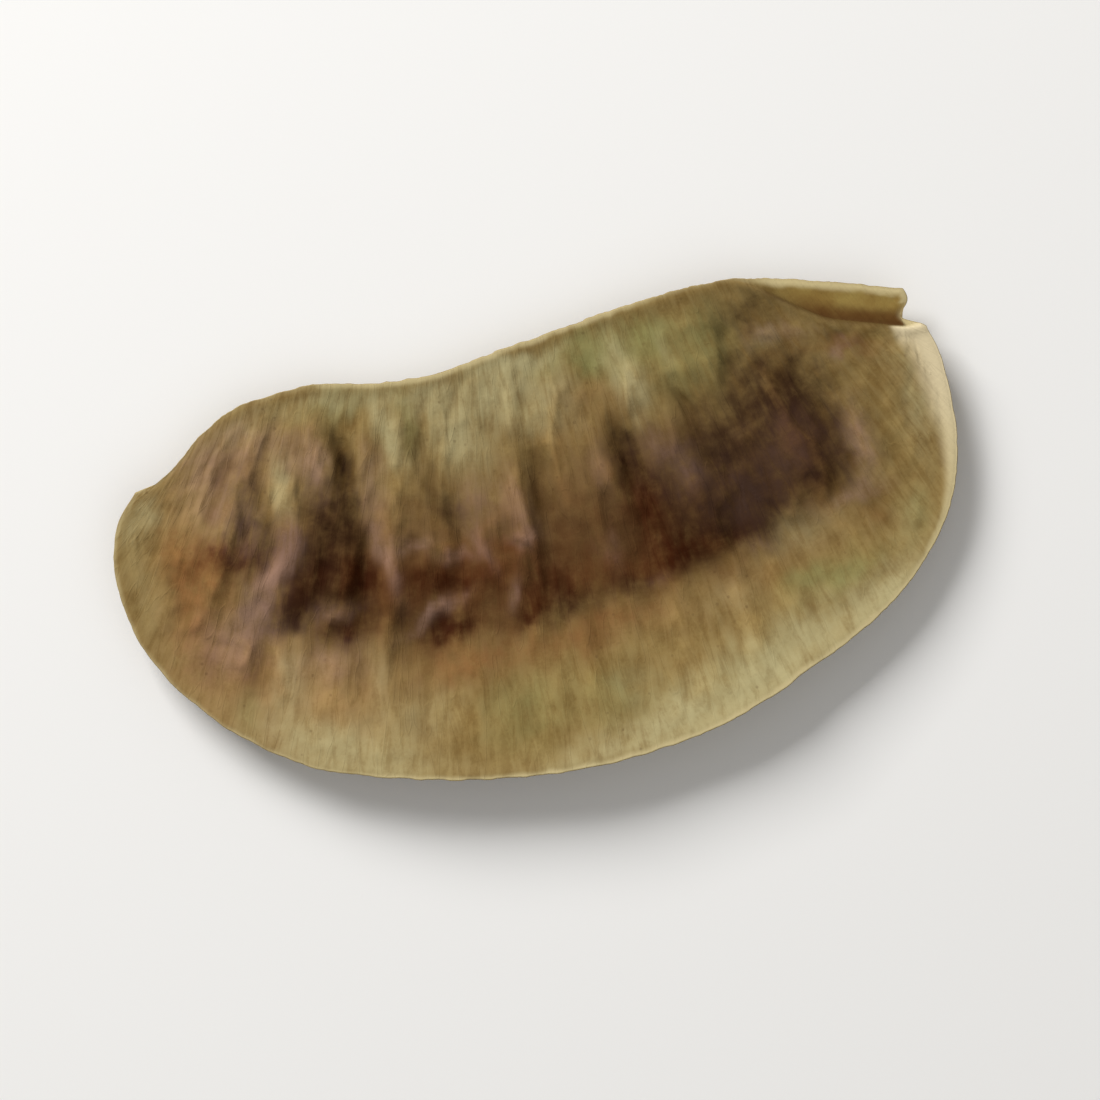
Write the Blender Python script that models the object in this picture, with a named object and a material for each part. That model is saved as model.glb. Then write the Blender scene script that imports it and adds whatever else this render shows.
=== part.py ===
"""One dried senna pod: a flat, bowed pod with seven seed swellings, modelled as one closed body.

The pod lies on its lower face. Its length runs along X with the beaked end at +X, its nearly
straight seam lies toward +Y and its bowed seam toward -Y. Positions on the pod are worked out
in millimetres and turned into metres when the mesh is made.

A point of the pod is named by two shares: `along` runs from the stalk scar (0) to the beaked end
(1) and `across` runs from the straight seam (0) to the bowed seam (1).
"""

import bpy
import numpy as np

METRES_PER_MM = 0.001

# Outline, in millimetres, from the stalk scar to the beaked end.
STRAIGHT_SEAM = (
    (-19.3, 7.8), (-18.0, 8.5), (-16.4, 9.65), (-14.6, 10.5), (-12.2, 10.8), (-9.9, 10.75),
    (-6.4, 9.95), (-3.5, 9.7), (0.0, 10.05), (4.0, 10.4), (8.4, 10.7), (12.2, 10.6),
    (16.1, 9.6), (18.8, 8.65), (21.1, 7.8),
)
BOWED_SEAM = (
    (-20.4, 7.65), (-21.6, 6.4), (-22.4, 4.3), (-22.5, 2.0), (-22.1, -0.2), (-20.8, -2.9),
    (-18.7, -5.6), (-15.6, -8.2), (-11.5, -10.0), (-6.4, -11.4), (0.0, -12.25), (6.0, -11.8),
    (12.0, -9.9), (16.8, -7.6), (20.0, -4.7), (21.6, -1.6), (22.1, 1.6), (22.15, 4.0),
    (21.85, 5.6),
)

# Notch below the beak: how deep it cuts, where it lies across the end, and how far in it reaches.
NOTCH_DEPTH = 0.95
NOTCH_PLACE = 0.62
NOTCH_WIDTH = 0.25
NOTCH_REACH = 0.07

# Half thicknesses, in millimetres, from the middle of the body to one face. The rib runs just
# inside the outline all round, and the belly is the broad rise along the row of seeds.
MARGIN_HALF = 0.35
RIB_EXTRA = 0.17
RIB_INSET = 0.32
RIB_WIDTH = 0.42
RIB_FADE = 0.20
BELLY_HALF = 0.30
BELLY_WIDTH = 6.2
BELLY_FADE = 5.0
SEAM_GROOVE_DEPTH = 0.13

# Row of seeds, placed by shares along and across the pod.
SEED_COUNT = 7
FIRST_SEED = 0.184
SEED_STEP = 0.0925
SEED_ROW_PLACE = 0.42
SEED_ROW_BOW = 1.1
SEED_HEIGHT = 0.50
SEED_HALF_LENGTH = 4.9
SEED_HALF_WIDTH = 2.35
SEED_FADE = 3.0

# Folds of the dried wall: height (a furrow is below zero), half width and the line it follows.
FOLDS = (
    (0.24, 0.60, ((-7.0, 8.0), (-7.7, 4.0), (-8.6, 0.5), (-9.8, -3.0), (-11.0, -6.0))),
    (-0.38, 0.60, ((-10.2, 8.6), (-9.6, 6.5), (-9.8, 4.4))),
    (0.22, 0.65, ((-13.2, 8.8), (-13.2, 5.0), (-14.0, 2.0), (-16.0, 0.6))),
    (-0.22, 0.60, ((-5.6, 8.2), (-5.2, 4.0), (-4.4, 0.5))),
    (0.16, 0.50, ((-1.0, 5.0), (-0.8, -0.5))),
    (-0.20, 0.50, ((-0.3, 6.5), (0.3, 2.0), (0.2, 0.0))),
    (0.16, 0.50, ((3.6, 3.5), (4.4, 1.0), (5.0, -0.3))),
    (-0.28, 0.55, ((4.6, 5.6), (5.0, 2.0), (5.5, -0.8))),
    (-0.28, 0.60, ((7.5, 8.2), (7.8, 6.0), (8.8, 4.5), (9.3, 2.0), (9.8, -0.3))),
    (0.14, 0.50, ((6.3, 8.4), (6.3, 5.0))),
    (-0.16, 0.55, ((11.3, 9.0), (11.5, 5.0), (12.0, 3.0))),
    (-0.30, 0.60, ((-15.8, -1.0), (-16.2, -2.5), (-17.6, -6.0))),
    (0.24, 0.60, ((-14.8, -1.4), (-15.4, -3.4), (-16.6, -6.2))),
    (0.15, 0.45, ((-8.0, -2.8), (-5.0, -1.8))),
)
FOLD_SHARE_BELOW = 0.55
FOLD_RIM_GAP = 0.3
FOLD_FADE = 1.2

# Fine ripples that run from seam to seam: height, waves along the pod, phase, and how far their
# lines sway across the pod. The two faces ripple apart from each other.
RIPPLE_HEIGHT = 0.075
RIPPLES_ABOVE = (17.0, 0.0, 2.0)
RIPPLES_BELOW = (15.8, 1.7, 2.2)
RIPPLE_SWAY_TURN = 2.8
RIPPLE_BUNCHING = 1.5
RIPPLE_BUNCHES = 6.0
RIPPLE_RIM_GAP = 0.6
RIPPLE_FADE = 2.0

# Strip of the lower half that shows beside the beak, where the upper half has shrunk back.
STRIP_START = 12.0
STRIP_END = 17.5
STRIP_WIDTH = 1.95
STRIP_STEP = 0.30
STRIP_ONSET = 3.0
STRIP_DROP_ABOVE = 0.40
STRIP_DROP_BELOW = 0.16

# Bend of the whole pod: lift of each side and end, twist, and waves of the margin.
BOWED_SIDE_LIFT = 1.75
STRAIGHT_SIDE_LIFT = 0.95
END_LIFT = 1.05
SIDE_POWER = 2.1
END_POWER = 2.6
TWIST_LIFT = 0.30
BEND_CENTRE = 0.6
HALF_LENGTH = 22.3
HALF_BREADTH = 11.5
MARGIN_WAVE = 0.16
MARGIN_POWER = 3.0
LONG_WAVE_TURN = 6.1
SHORT_WAVE_TURN = 13.7
SIDE_PHASE = 1.9
SHORT_WAVE_PHASE = 2.3
SHORT_WAVE_SHARE = 0.5

# The lower face is flat below this height over the middle seeds, so that the pod rests there.
REST_HEIGHT = -0.84

STATIONS = 80
ROWS = 27
ROW_CROWDING = 0.70

WALL_COLOUR = (0.238, 0.155, 0.062, 1.0)
WALL_ROUGHNESS = 0.62
WALL_METALLIC = 0.0

CURVE_STEPS_PER_POINT = 60
SEAM_STEPS = 1000


def ease(value):
    """0 below 0, 1 above 1, and a smooth rise between."""
    held = np.clip(value, 0.0, 1.0)
    return held * held * (3.0 - 2.0 * held)


def smooth_curve(points, count):
    """`count` points at equal steps along the cubic curve that passes through `points`."""
    knots = np.array(points, dtype=float)
    gaps = np.linalg.norm(np.diff(knots, axis=0), axis=1)
    stops = np.concatenate(([0.0], np.cumsum(gaps)))
    chords = np.diff(knots, axis=0) / gaps[:, None]
    slopes = np.empty_like(knots)
    slopes[0] = chords[0]
    slopes[-1] = chords[-1]
    weighted = chords[:-1] * gaps[1:, None] + chords[1:] * gaps[:-1, None]
    slopes[1:-1] = weighted / (gaps[1:] + gaps[:-1])[:, None]

    fine = np.linspace(0.0, stops[-1], CURVE_STEPS_PER_POINT * len(knots))
    span = np.clip(np.searchsorted(stops, fine, side="right") - 1, 0, len(gaps) - 1)
    length = gaps[span][:, None]
    u = (fine[:, None] - stops[span][:, None]) / length
    curve = (
        (2 * u**3 - 3 * u**2 + 1) * knots[span]
        + (u**3 - 2 * u**2 + u) * length * slopes[span]
        + (3 * u**2 - 2 * u**3) * knots[span + 1]
        + (u**3 - u**2) * length * slopes[span + 1]
    )
    steps = np.linalg.norm(np.diff(curve, axis=0), axis=1)
    travelled = np.concatenate(([0.0], np.cumsum(steps)))
    wanted = np.linspace(0.0, travelled[-1], count)
    columns = [np.interp(wanted, travelled, curve[:, axis]) for axis in range(2)]
    return np.stack(columns, axis=-1)


def distance_to_line(plan, line):
    """Shortest distance in millimetres from each point of `plan` to the open line `line`."""
    line = np.asarray(line, dtype=float)
    nearest = np.full(plan.shape[:-1], np.inf)
    for start, end in zip(line[:-1], line[1:]):
        step = end - start
        share = ((plan - start) @ step) / (step @ step)
        foot = start + np.clip(share, 0.0, 1.0)[..., None] * step
        nearest = np.minimum(nearest, np.linalg.norm(plan - foot, axis=-1))
    return nearest


def pod_plan():
    """Grid of (x, y) over the outline, with the shares along and across of its lines.

    Each station is the straight line between the points of the two seams at the same share
    along; near the beaked end the stations are pushed in by the notch.
    """
    along = np.linspace(0.0, 1.0, STATIONS)
    even = np.linspace(0.0, 1.0, ROWS)
    crowded = 0.5 - 0.5 * np.cos(np.pi * even)
    across = ROW_CROWDING * crowded + (1.0 - ROW_CROWDING) * even
    straight = smooth_curve(STRAIGHT_SEAM, STATIONS)[:, None, :]
    bowed = smooth_curve(BOWED_SEAM, STATIONS)[:, None, :]
    share = across[None, :, None]
    plan = straight * (1.0 - share) + bowed * share
    reach = np.clip((along - 1.0 + NOTCH_REACH) / NOTCH_REACH, 0.0, 1.0)[:, None]
    notch = np.exp(-(((across - NOTCH_PLACE) / NOTCH_WIDTH) ** 2))[None, :]
    plan[..., 0] -= NOTCH_DEPTH * reach * notch
    return plan, along, across


def rim_loop():
    """Grid indices of the outline, counter-clockwise seen from above."""
    stations = np.arange(STATIONS)
    rows = np.arange(ROWS)
    last_station = STATIONS - 1
    last_row = ROWS - 1
    pairs = [(0, row) for row in rows[:-1]]
    pairs += [(station, last_row) for station in stations[:-1]]
    pairs += [(last_station, row) for row in rows[:0:-1]]
    pairs += [(station, 0) for station in stations[:0:-1]]
    return np.array(pairs)


def seed_row(along):
    """Share across at which the row of seeds runs: a shallow parabola."""
    return SEED_ROW_PLACE + SEED_ROW_BOW * (along - 0.5) ** 2


def seed_swelling(plan):
    """Height of the seven seeds: a flattened dome over an oval that lies along its station."""
    straight = smooth_curve(STRAIGHT_SEAM, SEAM_STEPS + 1)
    bowed = smooth_curve(BOWED_SEAM, SEAM_STEPS + 1)
    height = np.zeros(plan.shape[:-1])
    for seed in range(SEED_COUNT):
        along = FIRST_SEED + SEED_STEP * seed
        across = seed_row(along)
        top = straight[round(SEAM_STEPS * along)]
        bottom = bowed[round(SEAM_STEPS * along)]
        centre = top * (1.0 - across) + bottom * across
        direction = (bottom - top) / np.linalg.norm(bottom - top)
        side = np.array([-direction[1], direction[0]])
        lengthwise = ((plan - centre) @ direction) / SEED_HALF_LENGTH
        sidewise = ((plan - centre) @ side) / SEED_HALF_WIDTH
        inside = np.clip(1.0 - lengthwise**2 - sidewise**2, 0.0, 1.0)
        height = np.maximum(height, SEED_HEIGHT * inside * np.sqrt(inside) * (2.0 - inside))
    return height


def fold_height(plan):
    """Sum of the folds, each a rounded ridge or furrow along its line."""
    height = np.zeros(plan.shape[:-1])
    for peak, half_width, line in FOLDS:
        height += peak * np.exp(-((distance_to_line(plan, line) / half_width) ** 2))
    return height


def bend(plan):
    """Height of the middle of the body: both sides and both ends curve up, with a slight twist."""
    x = plan[..., 0] / HALF_LENGTH
    y = (plan[..., 1] - BEND_CENTRE) / HALF_BREADTH
    lift = BOWED_SIDE_LIFT * np.clip(-y, 0.0, None) ** SIDE_POWER
    lift += STRAIGHT_SIDE_LIFT * np.clip(y, 0.0, None) ** SIDE_POWER
    lift += END_LIFT * np.abs(x) ** END_POWER
    lift += TWIST_LIFT * x * y
    wave = np.sin(LONG_WAVE_TURN * x + SIDE_PHASE * np.sign(y))
    wave += SHORT_WAVE_SHARE * np.sin(SHORT_WAVE_TURN * x + SHORT_WAVE_PHASE)
    lift += MARGIN_WAVE * wave * np.clip(np.abs(y), 0.0, 1.0) ** MARGIN_POWER
    return lift


def half_thickness(plan, along, across, inset):
    """From the middle to one face: the thin margin, the rib at the rim, the belly and the seeds."""
    breadth = np.linalg.norm(plan[:, 0] - plan[:, -1], axis=-1)[:, None]
    from_seeds = (across[None, :] - seed_row(along)[:, None]) * breadth
    belly = np.exp(-((from_seeds / BELLY_WIDTH) ** 2)) * ease(inset / BELLY_FADE)
    rib = np.exp(-(((inset - RIB_INSET) / RIB_WIDTH) ** 2)) * ease(inset / RIB_FADE)
    seeds = seed_swelling(plan) * ease(inset / SEED_FADE)
    return MARGIN_HALF + RIB_EXTRA * rib + BELLY_HALF * belly + seeds


def ripple(along, across, inset, pattern):
    """Waves along the pod whose crests sway across it and stand closer in some places."""
    waves, phase, sway = pattern
    turn = 2.0 * np.pi * waves * along[:, None]
    swaying = sway * np.sin(RIPPLE_SWAY_TURN * across[None, :])
    bunching = RIPPLE_BUNCHING * np.sin(2.0 * np.pi * RIPPLE_BUNCHES * along[:, None])
    fading = ease((inset - RIPPLE_RIM_GAP) / RIPPLE_FADE)
    return RIPPLE_HEIGHT * np.sin(turn + phase + swaying + bunching) * fading


def bared_strip(plan):
    """1 on the strip of the lower half that shows beside the beak, 0 elsewhere."""
    along_strip = plan[..., 0] - STRIP_START
    width = STRIP_WIDTH * ease(along_strip / (STRIP_END - STRIP_START))
    from_seam = distance_to_line(plan, smooth_curve(STRAIGHT_SEAM, STATIONS))
    inside = 1.0 - ease((from_seam - width) / STRIP_STEP + 0.5)
    return inside * ease(along_strip / STRIP_ONSET)


def faces_of_pod():
    """The plan grid and the heights of the upper face, the lower face and the seam groove."""
    plan, along, across = pod_plan()
    loop = rim_loop()
    outline = plan[loop[:, 0], loop[:, 1]]
    closed = np.concatenate([outline, outline[:1]])
    inset = distance_to_line(plan, closed)

    middle = bend(plan)
    half = half_thickness(plan, along, across, inset)
    folds = fold_height(plan) * ease((inset - FOLD_RIM_GAP) / FOLD_FADE)
    strip = bared_strip(plan)
    upper = middle + half + folds + ripple(along, across, inset, RIPPLES_ABOVE)
    upper -= STRIP_DROP_ABOVE * strip
    lower = middle - half + FOLD_SHARE_BELOW * folds + ripple(along, across, inset, RIPPLES_BELOW)
    lower -= STRIP_DROP_BELOW * strip
    lower = np.maximum(lower, REST_HEIGHT)
    groove = 0.5 * (upper + lower)
    return plan, loop, upper, lower, groove


def mesh_arrays():
    """Points in metres and triangles of the closed body: two faces joined by a grooved rim."""
    plan, loop, upper, lower, groove = faces_of_pod()
    upper_points = np.concatenate([plan, upper[..., None]], axis=-1).reshape(-1, 3)
    lower_points = np.concatenate([plan, lower[..., None]], axis=-1).reshape(-1, 3)

    outline = plan[loop[:, 0], loop[:, 1]]
    travel = np.roll(outline, -1, axis=0) - np.roll(outline, 1, axis=0)
    travel /= np.linalg.norm(travel, axis=1)[:, None]
    inward = np.stack([-travel[:, 1], travel[:, 0]], axis=-1)
    groove_plan = outline + SEAM_GROOVE_DEPTH * inward
    groove_heights = groove[loop[:, 0], loop[:, 1]][:, None]
    groove_points = np.concatenate([groove_plan, groove_heights], axis=-1)
    points = np.concatenate([upper_points, lower_points, groove_points])

    number = np.arange(STATIONS * ROWS).reshape(STATIONS, ROWS)
    here = number[:-1, :-1].ravel()
    down = number[:-1, 1:].ravel()
    far = number[1:, 1:].ravel()
    right = number[1:, :-1].ravel()
    top = np.concatenate([np.stack([here, down, far], 1), np.stack([here, far, right], 1)])
    bottom = top[:, ::-1] + STATIONS * ROWS

    upper_ring = number[loop[:, 0], loop[:, 1]]
    lower_ring = upper_ring + STATIONS * ROWS
    groove_ring = 2 * STATIONS * ROWS + np.arange(len(loop))
    rim = []
    for low_ring, high_ring in ((lower_ring, groove_ring), (groove_ring, upper_ring)):
        low_next = np.roll(low_ring, -1)
        high_next = np.roll(high_ring, -1)
        rim.append(np.stack([low_ring, low_next, high_next], 1))
        rim.append(np.stack([low_ring, high_next, high_ring], 1))
    triangles = np.concatenate([top, bottom] + rim)

    low_corner = points.min(axis=0)
    high_corner = points.max(axis=0)
    middle = 0.5 * (low_corner + high_corner)
    points -= np.array([middle[0], middle[1], low_corner[2]])
    return points * METRES_PER_MM, triangles


def wall_material():
    """Dry, matt, olive-tan pod wall."""
    material = bpy.data.materials.new("pod wall")
    material.use_nodes = True
    shader = material.node_tree.nodes["Principled BSDF"]
    shader.inputs["Base Color"].default_value = WALL_COLOUR
    shader.inputs["Roughness"].default_value = WALL_ROUGHNESS
    shader.inputs["Metallic"].default_value = WALL_METALLIC
    material.diffuse_color = WALL_COLOUR
    return material


def build_pod():
    """Make the object `pod` at the origin of the scene."""
    for item in list(bpy.data.objects):
        bpy.data.objects.remove(item, do_unlink=True)
    points, triangles = mesh_arrays()
    mesh = bpy.data.meshes.new("pod")
    mesh.from_pydata(points.tolist(), [], triangles.tolist())
    mesh.polygons.foreach_set("use_smooth", [True] * len(mesh.polygons))
    mesh.materials.append(wall_material())
    mesh.update()
    pod = bpy.data.objects.new("pod", mesh)
    bpy.context.scene.collection.objects.link(pod)


build_pod()
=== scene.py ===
"""Looks of one dried senna pod: its wrinkled wall, stains, pale rim and bared strip.

The fine pod takes the place of the frame's plain one and follows the same rules and named sizes,
except that its margin is thinner, its rib lower and narrower, the step of its bared strip sharper
and a few of its folds a little different. Creases, wrinkles, finer folds and a wobble of the
outline are only here.

Plan positions are in millimetres with the pod laid level: +x toward its beaked end, +y toward its
nearly straight seam. A point is also named by two shares: `along` runs from the stalk scar (0) to
the beaked end (1) and `across` runs from the straight seam (0) to the bowed seam (1).

A layer of noise is given by its height and its numbers of cells along and across the pod. A ramp is
given by where it starts to rise from 0 and how far it takes to reach 1; with a negative length it
rises the other way.
"""

import math

import bpy
import numpy as np
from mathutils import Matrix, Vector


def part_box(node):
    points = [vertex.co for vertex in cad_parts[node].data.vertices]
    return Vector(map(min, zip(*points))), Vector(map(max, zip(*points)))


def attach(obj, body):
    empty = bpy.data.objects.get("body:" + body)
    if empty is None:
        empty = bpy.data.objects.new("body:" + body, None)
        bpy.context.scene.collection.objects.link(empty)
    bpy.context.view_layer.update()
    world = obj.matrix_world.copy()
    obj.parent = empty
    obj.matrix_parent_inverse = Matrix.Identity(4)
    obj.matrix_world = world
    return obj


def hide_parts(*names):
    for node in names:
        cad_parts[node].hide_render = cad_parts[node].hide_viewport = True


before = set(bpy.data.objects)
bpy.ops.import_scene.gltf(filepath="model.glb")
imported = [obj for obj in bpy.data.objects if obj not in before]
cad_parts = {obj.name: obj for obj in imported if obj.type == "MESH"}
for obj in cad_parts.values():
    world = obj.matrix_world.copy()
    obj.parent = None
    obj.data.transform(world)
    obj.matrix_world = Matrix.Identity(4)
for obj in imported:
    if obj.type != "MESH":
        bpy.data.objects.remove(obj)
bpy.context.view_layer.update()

METRES_PER_MM = 0.001

# Both seams of the outline, in millimetres, from the stalk scar to the beaked end.
STRAIGHT_SEAM = (
    (-19.3, 7.8), (-18.0, 8.5), (-16.4, 9.65), (-14.6, 10.5), (-12.2, 10.8), (-9.9, 10.75),
    (-6.4, 9.95), (-3.5, 9.7), (0.0, 10.05), (4.0, 10.4), (8.4, 10.7), (12.2, 10.6),
    (16.1, 9.6), (18.8, 8.65), (21.1, 7.8),
)
BOWED_SEAM = (
    (-20.4, 7.65), (-21.6, 6.4), (-22.4, 4.3), (-22.5, 2.0), (-22.1, -0.2), (-20.8, -2.9),
    (-18.7, -5.6), (-15.6, -8.2), (-11.5, -10.0), (-6.4, -11.4), (0.0, -12.25), (6.0, -11.8),
    (12.0, -9.9), (16.8, -7.6), (20.0, -4.7), (21.6, -1.6), (22.1, 1.6), (22.15, 4.0),
    (21.85, 5.6),
)

# Wobble of both seams: layers of noise, and the power by which it fades at a seam's two ends.
EDGE_WOBBLES = ((0.045, 75, 1), (0.0225, 225, 1))
EDGE_WOBBLE_FADE = 0.25

# Notch below the beak: how deep it cuts, where it lies across the end, and how far in it reaches.
NOTCH_DEPTH = 0.95
NOTCH_PLACE = 0.62
NOTCH_WIDTH = 0.25
NOTCH_REACH = 0.07

# Half thicknesses, in millimetres, from the middle of the body to one face.
MARGIN_HALF = 0.25
RIB_EXTRA = 0.04
RIB_INSET = 0.32
RIB_WIDTH = 0.30
RIB_FADE = 0.20
BELLY_HALF = 0.30
BELLY_WIDTH = 6.2
BELLY_FADE = 5.0

# Row of seeds, placed by shares along and across the pod.
SEED_COUNT = 7
FIRST_SEED = 0.184
SEED_STEP = 0.0925
SEED_ROW_PLACE = 0.42
SEED_ROW_BOW = 1.1
SEED_HEIGHT = 0.50
SEED_HALF_LENGTH = 4.9
SEED_HALF_WIDTH = 2.35
SEED_FADE = 3.0

# Folds of the dried wall: height (a furrow is below zero), half width and the line it follows.
FOLDS = (
    (0.24, 0.60, ((-7.0, 8.0), (-7.7, 4.0), (-8.6, 0.5), (-9.8, -3.0), (-11.0, -6.0))),
    (-0.38, 0.55, ((-9.8, 8.5), (-9.5, 6.5), (-9.8, 4.4))),
    (0.22, 0.65, ((-13.2, 8.8), (-13.2, 5.0), (-14.0, 2.0), (-16.0, 0.6))),
    (-0.22, 0.60, ((-5.6, 8.2), (-5.2, 4.0), (-4.4, 0.5))),
    (0.16, 0.50, ((-1.0, 5.0), (-0.8, -0.5))),
    (-0.15, 0.50, ((-0.3, 6.5), (0.3, 2.0), (0.2, 0.0))),
    (0.16, 0.50, ((3.6, 3.5), (4.4, 1.0), (5.0, -0.3))),
    (-0.28, 0.55, ((4.6, 5.6), (5.0, 2.0), (5.5, -0.8))),
    (-0.28, 0.60, ((7.5, 8.2), (7.8, 6.0), (8.8, 4.5), (9.3, 2.0), (9.8, -0.3))),
    (0.14, 0.50, ((6.3, 8.4), (6.3, 5.0))),
    (-0.16, 0.55, ((11.3, 9.0), (11.5, 5.0), (12.0, 3.0))),
    (-0.15, 0.60, ((-15.8, -1.0), (-16.2, -2.5), (-17.6, -6.0))),
    (0.16, 0.60, ((-14.8, -1.4), (-15.4, -3.4), (-16.6, -6.2))),
    (0.15, 0.45, ((-8.0, -2.8), (-5.0, -1.8))),
)
# Finer folds of the upper face, in the same form.
FINE_FOLDS = (
    (0.12, 0.25, ((-10.4, 8.2), (-10.9, 6.3), (-10.6, 5.2))),
    (-0.10, 0.22, ((-11.9, 8.8), (-12.1, 6.8), (-12.0, 4.6))),
    (-0.09, 0.22, ((-15.6, 7.4), (-15.2, 5.2), (-15.4, 3.2))),
    (0.16, 0.24, ((-1.1, 3.4), (-0.9, -0.3), (-1.6, 0.5), (-2.6, 0.8))),
    (-0.18, 0.24, ((-2.6, -0.2), (-1.8, 0.0), (-1.2, -0.9), (-2.2, -3.6))),
    (0.10, 0.25, ((2.6, 1.9), (3.6, 1.5), (4.3, 0.4))),
    (0.12, 0.24, ((-8.2, 1.0), (-6.8, 1.7), (-5.6, 0.7), (-4.0, 0.3))),
    (0.12, 0.24, ((-4.1, 1.8), (-3.7, 0.2), (-3.3, -1.8))),
    (-0.08, 0.22, ((-8.0, 5.0), (-6.2, 3.6), (-4.6, 3.4))),
    (0.08, 0.22, ((-7.8, 3.0), (-6.4, 2.6), (-5.6, 2.8))),
    (-0.10, 0.22, ((2.9, 1.2), (3.1, -0.8))),
    (0.10, 0.22, ((-0.6, 4.9), (2.2, 4.3))),
    (0.10, 0.24, ((8.9, 7.6), (8.8, 5.0))),
    (0.10, 0.26, ((10.7, 7.6), (10.8, 4.6))),
    (0.11, 0.24, ((12.9, 7.7), (14.1, 7.5), (14.4, 6.4))),
    (-0.10, 0.22, ((13.0, 4.2), (14.3, 2.4), (14.9, 0.4))),
    (0.10, 0.22, ((16.6, 1.9), (16.9, 0.0), (16.4, -1.8))),
    (0.10, 0.22, ((-12.9, -1.9), (-11.9, -0.9), (-10.9, -1.1))),
    (0.09, 0.22, ((-18.6, -0.4), (-17.0, -1.4), (-17.4, -2.8))),
    (-0.08, 0.24, ((-19.9, 3.6), (-19.4, 1.6), (-19.5, 0.2))),
    (0.09, 0.24, ((-3.1, -2.6), (-3.2, -5.2), (-2.4, -6.6))),
    (-0.08, 0.24, ((-6.6, -4.4), (-6.5, -6.2))),
    (0.09, 0.26, ((10.2, -3.0), (11.6, -2.1), (13.6, -2.2))),
    (-0.08, 0.24, ((3.6, -4.6), (3.2, -7.4))),
    (0.08, 0.22, ((6.9, -4.2), (7.4, -7.2))),
)
FOLD_SHARE_BELOW = 0.55
FOLD_RIM_GAP = 0.3
FOLD_FADE = 1.2
FOLD_TAPER = 0.3
FOLD_STEPS = 14

# Ripples that run from seam to seam: height, waves along the pod, phase and sway across it.
RIPPLE_HEIGHT = 0.075
RIPPLES_ABOVE = (17.0, 0.0, 2.0)
RIPPLES_BELOW = (15.8, 1.7, 2.2)
RIPPLE_SWAY_TURN = 2.8
RIPPLE_BUNCHING = 1.5
RIPPLE_BUNCHES = 6.0
RIPPLE_RIM_GAP = 0.6
RIPPLE_FADE = 2.0

# Fine wrinkles of the papery wall: layers of noise, how much noise sways them, their rise inward
# from the outline, and the raised veins among them.
WRINKLES = ((0.070, 34, 3), (0.055, 62, 6), (0.045, 40, 17), (0.030, 90, 30), (0.012, 190, 60))
WRINKLE_SWAYS = ((0.012, 14, 7),)
WRINKLE_INWARD = (0.35, 1.0)
VEIN_HEIGHT = 0.010
VEIN_CELLS = (64, 3)
VEIN_SHARPNESS = 7.0
VEIN_SWAY_SHARE = 2.0

# Creases of the papery wall: layers of noise, how sharp the crests are, the level that counts as
# flat, and the noise that sways them. They are strongest along a line that lies a share across from
# the row of seeds, toward the straight seam, and faint beyond their reach from it. Ramps fade them
# out toward both ends and the outline.
CREASES = ((0.20, 24, 4), (0.13, 46, 9), (0.07, 92, 22))
CREASE_SHARPNESS = 2.4
CREASE_LEVEL = 0.34
CREASE_SWAYS_ALONG = ((0.010, 16, 7), (0.004, 44, 18))
CREASE_SWAYS_ACROSS = ((0.035, 18, 8),)
CREASE_LINE = 0.06
CREASE_REACH = 0.30
CREASE_FAINT = 0.30
CREASE_START = (0.06, 0.12)
CREASE_STOP = (0.90, -0.14)
CREASE_INWARD = (0.5, 1.4)

# Strip of the lower half that shows beside the beak, where the upper half has shrunk back.
STRIP_START = 12.0
STRIP_END = 17.5
STRIP_WIDTH = 1.95
STRIP_STEP = 0.16
STRIP_ONSET = 3.0
STRIP_DROP_ABOVE = 0.40
STRIP_DROP_BELOW = 0.16
STRIP_SMOOTHNESS = 0.8
STRIP_EDGE_POINTS = 200

# Turned-up lip of the upper half along the strip: height, how far past the strip's edge, half width.
STRIP_LIP = 0.10
STRIP_LIP_PLACE = 0.25
STRIP_LIP_WIDTH = 0.30

# Bend of the whole pod: lift of each side and end, twist, and waves of the margin.
BOWED_SIDE_LIFT = 1.75
STRAIGHT_SIDE_LIFT = 0.95
END_LIFT = 1.05
SIDE_POWER = 2.1
END_POWER = 2.6
TWIST_LIFT = 0.30
BEND_CENTRE = 0.6
HALF_LENGTH = 22.3
HALF_BREADTH = 11.5
MARGIN_WAVE = 0.16
MARGIN_POWER = 3.0
LONG_WAVE_TURN = 6.1
SHORT_WAVE_TURN = 13.7
SIDE_PHASE = 1.9
SHORT_WAVE_PHASE = 2.3
SHORT_WAVE_SHARE = 0.5

# The lower face is flat below this height over the middle seeds, so that the pod rests there.
REST_HEIGHT = -0.84

# Rim between the faces: how far each point of its profile lies in from the outline, in
# millimetres, and how high it lies, from the lower face's edge (0) to the upper face's (1).
RIM_PROFILE = ((-0.03, 0.86), (0.0, 0.66), (0.08, 0.5), (0.0, 0.34), (-0.03, 0.14))

# Points of the outline on each side over which the rim's inward direction is evened out, so that
# its groove doesn't fold over itself at a corner.
RIM_SMOOTHING = 8

STATIONS = 400
ROWS = 107
ROW_CROWDING = 0.70
CURVE_STEPS_PER_POINT = 60
SEAM_STEPS = 1000

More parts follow.
